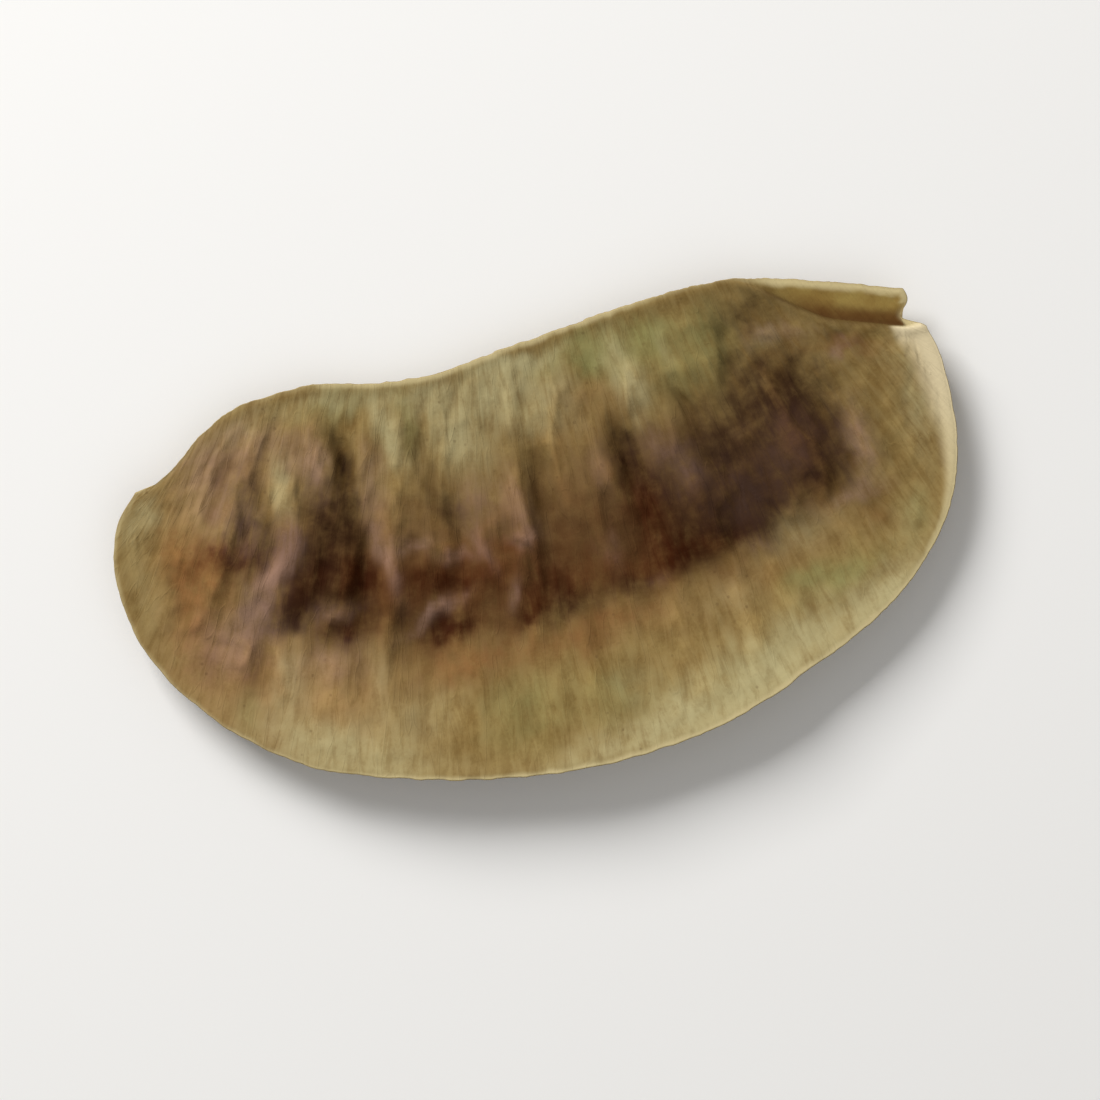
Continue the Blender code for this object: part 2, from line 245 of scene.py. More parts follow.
# Marks of the upper face: x, y, half length along x, half breadth, turn in degrees, strength.
DARK_MARKS = (
    (-12.4, 0.9, 1.8, 1.4, 20, 0.87), (-13.8, -0.4, 1.9, 0.9, 8, 0.97),
    (-11.3, 3.9, 1.0, 2.0, 0, 0.80), (-10.2, 1.0, 1.1, 2.2, 0, 0.85),
    (-9.9, 4.4, 0.8, 1.7, 0, 0.70), (-11.6, -2.0, 1.4, 0.9, 20, 0.85),
    (-13.2, 2.8, 0.9, 1.3, 0, 0.60), (-9.5, 6.5, 0.32, 1.9, 2, 0.78),
    (-10.3, 8.8, 0.30, 0.4, 0, 0.30), (-16.8, 3.1, 1.4, 1.0, 0, 0.68),
    (-15.4, 5.0, 1.8, 3.0, 0, 0.48), (-14.5, 6.6, 0.9, 1.8, 0, 0.38),
    (-15.0, 2.6, 1.0, 0.8, 0, 0.40),
    (-6.9, -0.4, 1.4, 1.1, -8, 0.72), (-5.2, -0.8, 1.7, 1.1, 0, 0.66),
    (-6.2, -3.3, 1.6, 0.9, 12, 0.88), (-8.6, -1.8, 0.9, 0.8, 0, 0.36),
    (-3.6, -1.6, 1.2, 1.3, 0, 0.30), (-1.9, -3.7, 1.2, 0.7, 25, 0.90),
    (-0.4, -1.9, 1.3, 1.2, 0, 0.52), (0.5, -3.3, 1.9, 1.2, 0, 0.64),
    (0.5, 1.8, 1.6, 2.2, 0, 0.22), (16.2, -2.0, 1.0, 0.9, 0, 0.20),
    (0.4, 4.2, 1.5, 0.6, -15, 0.28),
    (3.7, -3.5, 1.1, 0.9, 0, 0.76), (3.4, 0.4, 1.0, 1.6, 0, 0.32),
    (-4.7, 2.6, 0.8, 1.6, 20, 0.35), (-6.8, 3.2, 1.2, 1.6, 0, 0.22),
    (4.7, 4.0, 0.7, 1.3, 10, 0.40), (5.3, 0.8, 1.0, 3.2, 4, 0.80),
    (5.8, -2.8, 1.6, 1.2, 0, 0.92), (7.4, 1.2, 2.1, 2.8, 0, 0.70),
    (-2.4, 2.0, 1.2, 1.4, 0, 0.20),
    (13.6, 9.2, 2.0, 0.5, -16, 0.40), (-15.4, 3.4, 1.2, 1.4, 0, 0.30),
    (7.8, -2.0, 2.0, 1.2, 0, 0.74), (9.6, 2.6, 1.2, 2.4, 8, 0.50),
    (11.0, 3.8, 1.3, 1.2, 0, 0.28),
    (10.6, -0.4, 1.9, 2.0, 0, 0.80), (10.2, -1.9, 1.8, 1.2, 0, 0.71),
    (13.2, 2.6, 2.6, 2.6, 0, 0.80), (15.0, 1.4, 1.6, 2.6, 15, 0.55),
    (14.2, -0.4, 2.0, 0.9, 0, 0.60), (12.6, 5.4, 1.6, 1.8, 0, 0.44),
    (15.2, 4.4, 1.1, 1.6, 20, 0.34), (10.9, 6.6, 0.8, 2.4, 5, 0.34),
    (12.2, 8.4, 1.6, 1.2, -8, 0.38), (12.8, 4.8, 1.1, 1.0, 0, 0.10),
    (9.2, 6.8, 0.6, 2.0, 8, 0.30),
    # The second mark on the next line is painted shade: it darkens the slope beside the fold at x -16
    # that faces away from the light.
    (18.0, 1.6, 1.1, 3.4, 0, 0.28), (-16.6, -2.3, 1.5, 2.2, -20, 0.42),
    (-18.3, 3.0, 1.4, 2.0, 0, 0.14), (-12.4, 8.2, 1.3, 1.3, 0, 0.28),
    (-4.4, 2.4, 1.0, 1.2, 0, 0.26), (0.0, -4.1, 1.4, 0.8, 0, 0.48),
    (13.6, 8.2, 2.2, 1.2, -10, 0.40), (16.8, 5.9, 2.0, 1.2, -10, 0.44),
    (0.0, -6.0, 2.0, 0.9, 0, 0.24),
)
RUST_MARKS = (
    (-18.9, 3.8, 1.2, 2.0, 0, 0.60), (-19.2, 0.8, 0.7, 1.2, 0, 0.45),
    (-16.6, 3.0, 2.2, 1.3, 0, 0.75), (-7.0, -0.4, 2.0, 1.3, 0, 0.80),
    (-3.4, -0.9, 1.9, 1.8, 0, 0.92), (-1.9, 0.2, 0.9, 0.5, -20, 0.70),
    (0.5, -2.3, 2.2, 1.5, 0, 0.60), (3.6, -2.7, 2.0, 0.9, 0, 0.70),
    (5.2, -0.4, 1.1, 3.2, 4, 0.70), (-10.0, 0.8, 1.1, 1.8, 0, 0.55),
    (-11.6, -2.0, 1.4, 0.9, 0, 0.55), (8.3, -2.4, 2.0, 0.8, 0, 0.55),
    (13.6, 1.8, 1.2, 1.8, 0, 0.30), (-6.6, -5.4, 1.2, 0.9, 0, 0.42),
    (-4.2, -5.8, 2.4, 0.9, 0, 0.38), (-0.4, -6.0, 1.8, 0.9, 0, 0.42),
    (-6.3, -3.6, 1.9, 0.9, 12, 0.55), (-1.6, -3.5, 1.5, 0.8, 20, 0.60),
    (5.6, -2.9, 1.5, 0.9, 0, 0.55), (-12.4, 0.6, 2.2, 1.2, 15, 0.40),
    (2.4, -5.0, 2.0, 0.8, 0, 0.45), (17.2, 5.7, 2.4, 0.5, -8, 0.50),
    (-2.5, -5.4, 7.0, 1.2, 0, 0.26),
    (17.0, -3.4, 1.2, 0.7, -40, 0.30), (3.6, 6.6, 1.6, 1.1, 0, 0.40),
    (12.0, -4.4, 2.4, 0.7, 12, 0.20), (-18.6, 3.2, 1.0, 1.4, 0, 0.30),
    (-18.4, -1.6, 1.6, 2.0, 0, 0.40), (-19.8, -0.6, 1.0, 2.0, 0, 0.30),
    (-18.0, 1.8, 1.4, 1.6, 0, 0.36), (-16.4, -3.2, 1.5, 2.0, 0, 0.34),
)
# Pale places of the bowed margin, which both faces have: partly bleached, and on the upper face partly
# painted highlight where the margin curls up toward the light.
MARGIN_MARKS = (
    (9.8, -9.6, 5.2, 2.0, 17, 0.82), (4.5, -11.1, 3.6, 1.5, 6, 0.72),
    (15.8, -7.9, 3.0, 1.3, 34, 0.80), (-0.5, -11.8, 5.0, 1.0, 0, 0.50),
    (-15.0, -7.2, 3.6, 1.7, -36, 0.60),
)
# Pale places of the upper face: partly bleached, and partly painted highlight on ridges and folds.
PALE_AND_HIGHLIGHT_MARKS = MARGIN_MARKS + (
    (-9.0, -7.4, 2.6, 1.6, 0, 0.36),
    (-11.0, -9.4, 3.6, 1.3, -20, 0.50), (-14.9, -3.4, 0.8, 1.8, -18, 0.50),
    (20.2, -5.2, 1.6, 1.0, 60, 0.45),
    (-10.4, -4.4, 0.6, 1.8, -10, 0.35), (-7.0, 7.4, 0.7, 2.0, 0, 0.80),
    (-7.6, 3.6, 0.6, 1.6, 8, 0.22), (-3.4, 6.2, 1.6, 2.4, 8, 0.84),
    (-1.2, 8.0, 1.8, 1.2, 0, 0.65), (0.4, 9.3, 2.2, 0.6, 0, 1.00),
    (2.2, 7.4, 1.2, 1.6, 0, 0.40), (1.2, 5.8, 1.6, 0.8, 0, 0.30),
    (5.6, 8.2, 0.8, 1.8, 0, 0.60), (6.0, 6.0, 0.8, 1.6, 0, 0.78),
    (8.3, 7.6, 0.5, 1.6, 0, 0.35), (-12.9, 5.7, 0.8, 2.1, 0, 0.75),
    (-4.6, 8.8, 1.6, 0.8, -8, 0.65), (13.4, 7.0, 1.0, 0.6, 10, 0.50),
    (20.3, 2.2, 0.9, 3.0, 0, 0.50), (18.8, 5.0, 1.4, 0.8, 0, 0.14),
    (18.5, -3.6, 0.8, 1.6, -30, 0.30), (-21.4, 2.6, 1.0, 4.2, 0, 0.22),
    (-20.4, 6.2, 1.3, 1.0, 40, 0.52), (-14.0, 9.6, 3.0, 0.8, 12, 0.35),
    (-9.0, 9.7, 2.0, 0.7, -8, 0.60), (12.6, -2.8, 2.4, 1.1, 5, 0.50),
    (8.5, -5.6, 1.6, 1.0, 0, 0.35), (2.2, -8.4, 1.5, 1.1, 0, 0.30),
    (0.6, 6.6, 2.6, 1.1, 0, 0.38), (-6.2, 5.8, 0.8, 1.2, 0, 0.30),
    (0.2, 8.0, 1.2, 0.8, 0, 0.40),
)
GREEN_MARKS = (
    (4.5, 8.6, 2.0, 1.4, 0, 0.90), (7.5, 8.6, 2.0, 1.3, 0, 0.75),
    (8.8, 6.2, 1.5, 1.7, 0, 0.65), (10.8, 8.0, 1.3, 1.7, 0, 0.65),
    (6.8, 5.0, 0.6, 2.0, 0, 0.40), (10.6, 4.4, 0.9, 2.0, 0, 0.35),
    (-5.7, 7.7, 0.6, 1.7, 0, 0.60), (-9.0, 9.5, 2.2, 0.8, 0, 0.50),
    (1.6, 9.0, 1.2, 0.7, 0, 0.50), (14.3, -5.8, 2.6, 1.2, 10, 0.70),
    (18.8, -3.6, 1.0, 1.6, -20, 0.50), (12.2, -5.4, 1.6, 1.0, 0, 0.40),
    (-3.6, -8.6, 2.6, 2.2, 0, 0.50), (1.3, -9.0, 2.0, 1.9, 0, 0.45),
    (8.0, -9.4, 5.0, 1.4, 14, 0.35), (-17.6, -4.9, 0.8, 1.3, -20, 0.50),
    (-2.4, 4.4, 1.4, 1.2, 0, 0.25),
)
# Mauve places of the upper face: partly bloom, and partly painted sheen on ridge tops.
MAUVE_AND_SHEEN_MARKS = (
    (-13.2, 2.9, 0.60, 1.4, -15, 0.46), (-14.7, 1.4, 1.5, 0.68, 38, 0.90),
    (-15.7, 0.4, 1.2, 0.5, 15, 1.00), (-17.0, -0.9, 2.0, 1.5, 0, 0.70),
    (-18.6, -2.0, 1.4, 1.2, -30, 0.35), (-12.0, -1.1, 1.6, 0.5, 15, 0.50),
    (-12.8, -3.6, 2.0, 1.2, 0, 0.50), (-10.8, 6.8, 0.7, 1.4, 0, 0.75),
    (-12.0, 7.6, 1.0, 1.4, 0, 0.40), (-16.6, 7.0, 1.6, 2.4, 0, 0.55),
    (-14.4, 8.6, 2.0, 1.2, 0, 0.50),
    (-8.2, 5.4, 0.8, 1.8, 0, 0.50), (-8.6, 2.4, 0.5, 2.0, 5, 0.40),
    (-6.8, -2.5, 1.9, 0.42, 24, 0.64), (-2.6, -2.6, 0.45, 1.2, -30, 0.56),
    (-6.9, 1.5, 1.2, 0.40, 0, 0.62), (-5.0, 0.4, 1.0, 0.32, -18, 0.55),
    (-3.6, 0.3, 0.42, 1.4, 8, 0.52), (-1.5, 0.5, 0.8, 0.32, -10, 0.50),
    (-1.2, 2.4, 0.6, 1.8, 0, 0.40), (13.8, 1.8, 1.5, 1.5, 0, 0.18),
    (-3.0, 2.6, 1.2, 1.4, 0, 0.35), (2.8, -1.7, 0.6, 1.3, 0, 0.36),
    (3.5, 3.0, 0.6, 1.9, 5, 0.32), (4.8, -3.7, 0.9, 0.4, 0, 0.25),
    (7.6, 1.6, 1.3, 1.6, 0, 0.34), (6.3, 3.4, 1.2, 1.2, 0, 0.30),
    (10.6, -3.0, 0.8, 0.4, 10, 0.28), (-15.2, 3.8, 1.6, 1.4, 0, 0.35),
    (12.8, 0.6, 1.4, 0.9, 0, 0.12), (10.5, -0.8, 2.0, 1.6, 0, 0.16),
    (11.5, 0.8, 5.0, 3.6, 0, 0.12), (-8.5, 0.4, 0.5, 1.8, 5, 0.45),
    (-1.2, 0.6, 0.8, 1.0, 0, 0.30), (16.9, 0.6, 0.8, 2.0, 0, 0.60),
    (15.8, -1.9, 1.5, 0.5, 10, 0.55), (17.0, 5.4, 1.1, 0.5, 20, 0.50),
    (14.2, 7.2, 1.8, 0.6, -10, 0.45),
)
WARM_MARKS = (
    (-17.5, -2.0, 4.5, 6.0, 0, 0.75), (-15.0, 7.5, 4.5, 2.5, 10, 0.70),
    (-12.0, -5.5, 4.0, 3.0, -25, 0.55), (-6.0, -5.2, 3.4, 1.4, 0, 0.35),
    (3.0, -5.5, 4.0, 1.3, 0, 0.35), (12.0, -4.0, 5.0, 1.6, 10, 0.30),
)

UPPER_MARKS = {
    "dark": DARK_MARKS, "rust": RUST_MARKS, "pale_and_highlight": PALE_AND_HIGHLIGHT_MARKS,
    "green": GREEN_MARKS, "mauve_and_sheen": MAUVE_AND_SHEEN_MARKS, "warm": WARM_MARKS,
}

# Marks of the lower face, drawn at random: seed of the draw, how many lie round each seed of the
# pod, how far from it they may lie in x and y, and their greatest strength. It shares some marks
# with the upper face.
LOWER_DRAWS = {
    "dark": (3, 4, (1.6, 2.8), 0.9), "rust": (5, 2, (2.4, 4.5), 0.7),
    "pale_and_highlight": (7, 3, (2.6, 9.0), 0.8), "green": (13, 2, (2.8, 9.0), 0.8),
    "mauve_and_sheen": (17, 2, (2.0, 4.0), 0.6), "warm": (19, 1, (3.0, 9.0), 0.7),
}
SHARED_MARKS = {"pale_and_highlight": MARGIN_MARKS, "warm": WARM_MARKS}
LEAST_MARK = (0.8, 0.5)
LARGEST_MARK = (1.8, 1.6)
MARK_TURN = 30
WEAKEST_MARK = 0.5

# Brown band along the seeds and its darker core: how far the middle lies from the row of seeds
# toward the bowed seam, and how far it reaches toward the straight seam and the bowed one.
BAND = (0.4, 5.4, 5.7)
CORE = (2.1, 2.7, 2.5)
BAND_SHARPNESS = 2.0

# The band's middle wanders with noise, and toward both ends it lies nearer to the straight seam: how
# much nearer, and the ramp. The last two ramps end it beside the first and the last seed.
BAND_WANDER = ((0.7, 20, 3), (0.5, 60, 9))
STALK_END_RISE = 1.3
STALK_END_RAMP = (-9.0, -2.5)
BEAKED_END_RISE = 1.4
BEAKED_END_RAMP = (9.5, 3.0)
BAND_START = (0.17, 0.10)
BAND_STOP = (0.86, -0.10)

# How steeply a mark fades, and the noise that shakes the marks along the pod and across it.
MARK_FADE = 0.85
SHAKES_ALONG = ((0.28, 36, 12), (0.14, 110, 30))
SHAKES_ACROSS = ((0.42, 36, 12), (0.24, 110, 30))

# Ramps of the other masks, in millimetres, the bowed half's in shares across: the cream beaked end,
# which is pale fibre and painted highlight, the strip's pale lip, the bowed half, the pale middle of
# the straight seam, the strip, and the strip's painted shade; and the half width of the painted shadow
# at the strip's foot.
END_ALONG = (19.2, 1.2)
END_UP = (-5.5, 10.0)
LIP_ALONG = (9.0, 3.0)
LIP_UP = (6.9, 0.3)
BOWED_HALF = (0.3, 0.4)
SEAM_START = (-11.0, 3.0)
SEAM_STOP = (9.0, -3.0)
STRIP_ALONG = (12.5, 3.5)
SHADE_ALONG = (13.5, 3.5)
SHADE_OUTWARD = (-1.35, 1.1)
STEP_SHADOW_WIDTH = 0.22

# Pale edge: bleached fibre, and painted highlight where it is stronger and wider toward the bowed seam
# and the beaked end. Strength: least toward the straight seam, least toward the stalk with the ramp
# that ends it, and what the pale seam adds. Width in millimetres: everywhere, what each place adds, how
# much noise shakes it and softens it, and what the beaked end takes from the one and adds to the other.
EDGE_LEAST = 0.55
EDGE_LEAST_AT_STALK = 0.70
EDGE_FROM_STALK = (-16.0, 10.0)
EDGE_ON_SEAM = 0.30
EDGE_WIDTH = 0.11
EDGE_MORE_BOWED = 0.10
EDGE_BOWED_ALONG = (-10.0, 14.0)
EDGE_MORE_SEAM = 0.12
EDGE_MORE_END = 1.10
EDGE_MORE_LIP = 0.26
EDGE_SHAKE = 0.07
EDGE_SHAKE_CELLS = (80, 20)
EDGE_SHAKE_LESS_END = 0.05
EDGE_SOFTNESS = 0.46
EDGE_SOFTNESS_MORE_END = 1.5

# Height of folds and wrinkles, in millimetres, that counts as a full crest on each face; the relief
# mask drawn from it sets the wall's painted shade in furrows and painted highlight on crests.
FULL_CREST_ABOVE = 0.24
FULL_CREST_BELOW = 0.18

# Map of the wall in millimetres: its length, the share across that lies at its zero, how far the
# lower face's part lies from the upper one's, and the step between the rim's rings.
MAP_LENGTH = 52.0
MAP_ZERO = 0.45
MAP_GAP = 90.0
MAP_RING_STEP = 0.3

# Seeds of the random draws. A layer of noise after the first takes the next whole number, and a
# second set of draws in one function starts a fixed number past the first.
SECOND_DRAWS = 9
SEEDS = {
    "straight seam": 11, "bowed seam": 23, "marks above": 31, "marks below": 57, "edge": 41,
    "folds": 71, "wrinkles above": 101, "wrinkles below": 211, "band": 301,
    "creases above": 401, "creases below": 431,
}

# Specular level of the dry, dull surfaces, where the shader's own is 0.5.
FAINT_GLOSS = 0.03

GRAIN_OUTPUTS = ("Streaks", "Veins", "Mottle", "Blotch", "Specks", "Height")


def srgb(red, green, blue):
    """Linear colour of a colour read off a screen in steps of 0 to 255."""
    shares = np.array([red, green, blue]) / 255.0
    linear = np.where(shares <= 0.04045, shares / 12.92, ((shares + 0.055) / 1.055) ** 2.4)
    return (*linear.tolist(), 1.0)


def ease(value):
    """0 below 0, 1 above 1, and a smooth rise between."""
    held = np.clip(value, 0.0, 1.0)
    return held * held * (3.0 - 2.0 * held)


def ramp(value, start, length):
    """0 up to the start, 1 from a length past it, and a smooth rise between."""
    return ease((value - start) / length)


def bell(value, half_width):
    """1 at zero, falling to either side as a bell curve."""
    return np.exp(-((value / half_width) ** 2))


def lattice_noise(u, v, cells_u, cells_v, seed):
    """Smooth noise from -1 to 1: random values at the corners of cells, eased between them."""
    draw = np.random.default_rng(seed)
    corners = draw.uniform(-1.0, 1.0, (cells_u + 2, cells_v + 2))
    x = np.clip(u, 0.0, 1.0) * cells_u
    y = np.clip(v, 0.0, 1.0) * cells_v
    column = np.floor(x).astype(int)
    row = np.floor(y).astype(int)
    right = ease(x - column)
    down = ease(y - row)
    near = corners[column, row] * (1 - down) + corners[column, row + 1] * down
    far = corners[column + 1, row] * (1 - down) + corners[column + 1, row + 1] * down
    return near * (1 - right) + far * right


def layered_noise(u, v, layers, seed):
    """Sum of layers of noise, each drawn with a seed one past that of the layer before it."""
    total = np.zeros(np.shape(u))
    for layer, (height, cells_u, cells_v) in enumerate(layers):
        total += height * lattice_noise(u, v, cells_u, cells_v, seed + layer)
    return total


def smooth_curve(points, count):
    """`count` points at equal steps along the cubic curve that passes through `points`."""
    knots = np.array(points, dtype=float)
    gaps = np.linalg.norm(np.diff(knots, axis=0), axis=1)
    stops = np.concatenate(([0.0], np.cumsum(gaps)))
    chords = np.diff(knots, axis=0) / gaps[:, None]
    slopes = np.empty_like(knots)
    slopes[0] = chords[0]
    slopes[-1] = chords[-1]
    weighted = chords[:-1] * gaps[1:, None] + chords[1:] * gaps[:-1, None]
    slopes[1:-1] = weighted / (gaps[1:] + gaps[:-1])[:, None]

    fine = np.linspace(0.0, stops[-1], CURVE_STEPS_PER_POINT * len(knots))
    span = np.clip(np.searchsorted(stops, fine, side="right") - 1, 0, len(gaps) - 1)
    length = gaps[span][:, None]
    u = (fine[:, None] - stops[span][:, None]) / length
    curve = (
        (2 * u**3 - 3 * u**2 + 1) * knots[span]
        + (u**3 - 2 * u**2 + u) * length * slopes[span]
        + (3 * u**2 - 2 * u**3) * knots[span + 1]
        + (u**3 - u**2) * length * slopes[span + 1]
    )
    steps = np.linalg.norm(np.diff(curve, axis=0), axis=1)
    travelled = np.concatenate(([0.0], np.cumsum(steps)))
    wanted = np.linspace(0.0, travelled[-1], count)
    columns = [np.interp(wanted, travelled, curve[:, axis]) for axis in range(2)]
    return np.stack(columns, axis=-1)


def wobbled(seam, seed):
    """The seam moved in and out across its own run by a little noise that fades at its ends."""
    travel = np.gradient(seam, axis=0)
    travel /= np.linalg.norm(travel, axis=1)[:, None]
    outward = np.stack([-travel[:, 1], travel[:, 0]], axis=-1)
    share = np.linspace(0.0, 1.0, len(seam))
    amount = layered_noise(share, 0.0 * share, EDGE_WOBBLES, seed)
    fading = np.sin(np.pi * share) ** EDGE_WOBBLE_FADE
    return seam + (amount * fading)[:, None] * outward


def nearest_on_line(plan, line):
    """Distance in millimetres from each point of `plan` to the open line `line`, and the share of
    the line's length at which the nearest place on it lies."""
    line = np.asarray(line, dtype=float)
    lengths = np.linalg.norm(np.diff(line, axis=0), axis=1)
    passed = np.concatenate(([0.0], np.cumsum(lengths)))
    nearest = np.full(plan.shape[:-1], np.inf)
    place = np.zeros(plan.shape[:-1])
    for start, end, length, before in zip(line[:-1], line[1:], lengths, passed[:-1]):
        step = end - start
        share = np.clip(((plan - start) @ step) / length**2, 0.0, 1.0)
        gap = np.linalg.norm(plan - (start + share[..., None] * step), axis=-1)
        place = np.where(gap < nearest, before + share * length, place)
        nearest = np.minimum(nearest, gap)
    return nearest, place / passed[-1]


def distance_to_line(plan, line):
    """Shortest distance in millimetres from each point of `plan` to the open line `line`."""
    return nearest_on_line(plan, line)[0]


def pod_plan():
    """Grid of (x, y) over the outline: a station is the straight line between the two seams at
    one share along, and near the beaked end the stations are pushed in by the notch."""
    along = np.linspace(0.0, 1.0, STATIONS)
    even = np.linspace(0.0, 1.0, ROWS)
    crowded = 0.5 - 0.5 * np.cos(np.pi * even)
    across = ROW_CROWDING * crowded + (1.0 - ROW_CROWDING) * even
    straight = wobbled(smooth_curve(STRAIGHT_SEAM, STATIONS), SEEDS["straight seam"])[:, None, :]
    bowed = wobbled(smooth_curve(BOWED_SEAM, STATIONS), SEEDS["bowed seam"])[:, None, :]
    share = across[None, :, None]
    plan = straight * (1.0 - share) + bowed * share
    reach = np.clip((along - 1.0 + NOTCH_REACH) / NOTCH_REACH, 0.0, 1.0)[:, None]
    notch = bell(across - NOTCH_PLACE, NOTCH_WIDTH)[None, :]
    plan[..., 0] -= NOTCH_DEPTH * reach * notch
    return plan, along[:, None] + 0.0 * across, across + 0.0 * along[:, None]


def rim_loop():
    """Grid indices of the outline, counter-clockwise seen from above."""
    stations = np.arange(STATIONS)
    rows = np.arange(ROWS)
    left = np.stack([0 * rows[:-1], rows[:-1]], 1)
    bowed = np.stack([stations[:-1], 0 * stations[:-1] + ROWS - 1], 1)
    right = np.stack([0 * rows[1:] + STATIONS - 1, rows[:0:-1]], 1)
    straight = np.stack([stations[:0:-1], 0 * stations[1:]], 1)
    return np.concatenate([left, bowed, right, straight])


def seed_row(along):
    """Share across at which the row of seeds runs: a shallow parabola."""
    return SEED_ROW_PLACE + SEED_ROW_BOW * (along - 0.5) ** 2


def seed_places():
    """Centre and lengthwise direction of each seed; a seed lies along its own station."""
    straight = smooth_curve(STRAIGHT_SEAM, SEAM_STEPS + 1)
    bowed = smooth_curve(BOWED_SEAM, SEAM_STEPS + 1)
    places = []
    for seed in range(SEED_COUNT):
        along = FIRST_SEED + SEED_STEP * seed
        across = seed_row(along)
        top = straight[round(SEAM_STEPS * along)]
        bottom = bowed[round(SEAM_STEPS * along)]
        direction = (bottom - top) / np.linalg.norm(bottom - top)
        places.append((top * (1.0 - across) + bottom * across, direction))
    return places


def seed_swelling(plan):
    """Height of the seeds: each a flattened dome over an oval that lies along its station."""
    height = np.zeros(plan.shape[:-1])
    for centre, direction in seed_places():
        side = np.array([-direction[1], direction[0]])
        lengthwise = ((plan - centre) @ direction) / SEED_HALF_LENGTH
        sidewise = ((plan - centre) @ side) / SEED_HALF_WIDTH
        inside = np.clip(1.0 - lengthwise**2 - sidewise**2, 0.0, 1.0)
        height = np.maximum(height, SEED_HEIGHT * inside * np.sqrt(inside) * (2.0 - inside))
    return height


def fold_height(plan, folds):
    """Sum of the folds, each a rounded ridge or furrow along its smoothed line, lower toward both
    of its ends."""
    height = np.zeros(plan.shape[:-1])
    for peak, half_width, line in folds:
        gap, place = nearest_on_line(plan, smooth_curve(line, FOLD_STEPS))
        taper = ease(place / FOLD_TAPER) * ease((1.0 - place) / FOLD_TAPER)
        height += peak * taper * bell(gap, half_width)
    return height


def bend(plan):
    """Height of the middle of the body: both sides and both ends curve up, with a slight twist."""
    x = plan[..., 0] / HALF_LENGTH
    y = (plan[..., 1] - BEND_CENTRE) / HALF_BREADTH
    lift = BOWED_SIDE_LIFT * np.clip(-y, 0.0, None) ** SIDE_POWER
    lift += STRAIGHT_SIDE_LIFT * np.clip(y, 0.0, None) ** SIDE_POWER
    lift += END_LIFT * np.abs(x) ** END_POWER
    lift += TWIST_LIFT * x * y
    wave = np.sin(LONG_WAVE_TURN * x + SIDE_PHASE * np.sign(y))
    wave += SHORT_WAVE_SHARE * np.sin(SHORT_WAVE_TURN * x + SHORT_WAVE_PHASE)
    lift += MARGIN_WAVE * wave * np.clip(np.abs(y), 0.0, 1.0) ** MARGIN_POWER
    return lift


def breadth_at(plan):
    """Distance in millimetres between the two seams at each station."""
    return np.linalg.norm(plan[:, 0] - plan[:, -1], axis=-1)[:, None]


def half_thickness(plan, along, across, inset):
    """From the middle to one face: the thin margin, the rib at the rim, the belly and the seeds."""
    from_seeds = (across - seed_row(along)) * breadth_at(plan)
    belly = bell(from_seeds, BELLY_WIDTH) * ease(inset / BELLY_FADE)
    rib = bell(inset - RIB_INSET, RIB_WIDTH) * ease(inset / RIB_FADE)
    seeds = seed_swelling(plan) * ease(inset / SEED_FADE)
    return MARGIN_HALF + RIB_EXTRA * rib + BELLY_HALF * belly + seeds


def ripple(along, across, inset, pattern):
    """Waves along the pod whose crests sway across it and stand closer in some places."""
    waves, phase, sway = pattern
    turn = 2.0 * np.pi * waves * along
    swaying = sway * np.sin(RIPPLE_SWAY_TURN * across)
    bunching = RIPPLE_BUNCHING * np.sin(2.0 * np.pi * RIPPLE_BUNCHES * along)
    fading = ease((inset - RIPPLE_RIM_GAP) / RIPPLE_FADE)
    return RIPPLE_HEIGHT * np.sin(turn + phase + swaying + bunching) * fading


def wrinkles(along, across, inset, seed):
    """Layers of noise stretched from seam to seam, and thin raised veins where one layer of it
    passes through zero."""
    sway = layered_noise(along, across, WRINKLE_SWAYS, seed)
    height = layered_noise(along + sway, across, WRINKLES, seed + 1)
    swayed = along + VEIN_SWAY_SHARE * sway
    net = lattice_noise(swayed, across, *VEIN_CELLS, seed + SECOND_DRAWS)
    height += VEIN_HEIGHT * bell(net, 1.0 / VEIN_SHARPNESS)
    return height * ramp(inset, *WRINKLE_INWARD)


def creases(along, across, inset, seed):
    """Crumpling of the dried wall: layers of noise folded over where they pass through zero, so
    that each gives sharp crests; strongest over the seeds and faint toward the bowed seam."""
    u = along + layered_noise(along, across, CREASE_SWAYS_ALONG, seed)
    v = across + layered_noise(along, across, CREASE_SWAYS_ACROSS, seed + 2)
    height = np.zeros(along.shape)
    for layer, (peak, cells_u, cells_v) in enumerate(CREASES):
        noise = lattice_noise(u, v, cells_u, cells_v, seed + 3 + layer)
        height += peak * ((1.0 - np.abs(noise)) ** CREASE_SHARPNESS - CREASE_LEVEL)
    over_seeds = bell(across - seed_row(along) + CREASE_LINE, CREASE_REACH)
    strength = CREASE_FAINT + (1.0 - CREASE_FAINT) * over_seeds
    ends = ramp(along, *CREASE_START) * ramp(along, *CREASE_STOP)
    return height * strength * ends * ramp(inset, *CREASE_INWARD)


def bared_strip(plan):
    """1 on the strip of the lower half that shows beside the beak and 0 elsewhere, the distance in
    millimetres past the strip's edge onto the upper half, and how far the strip has set in."""
    along_strip = plan[..., 0] - STRIP_START
    width = STRIP_WIDTH * ease(along_strip / (STRIP_END - STRIP_START))
    past = distance_to_line(plan, smooth_curve(STRAIGHT_SEAM, STRIP_EDGE_POINTS)) - width
    onset = ease(along_strip / STRIP_ONSET)
    return (1.0 - ease(past / STRIP_STEP + 0.5)) * onset, past, onset


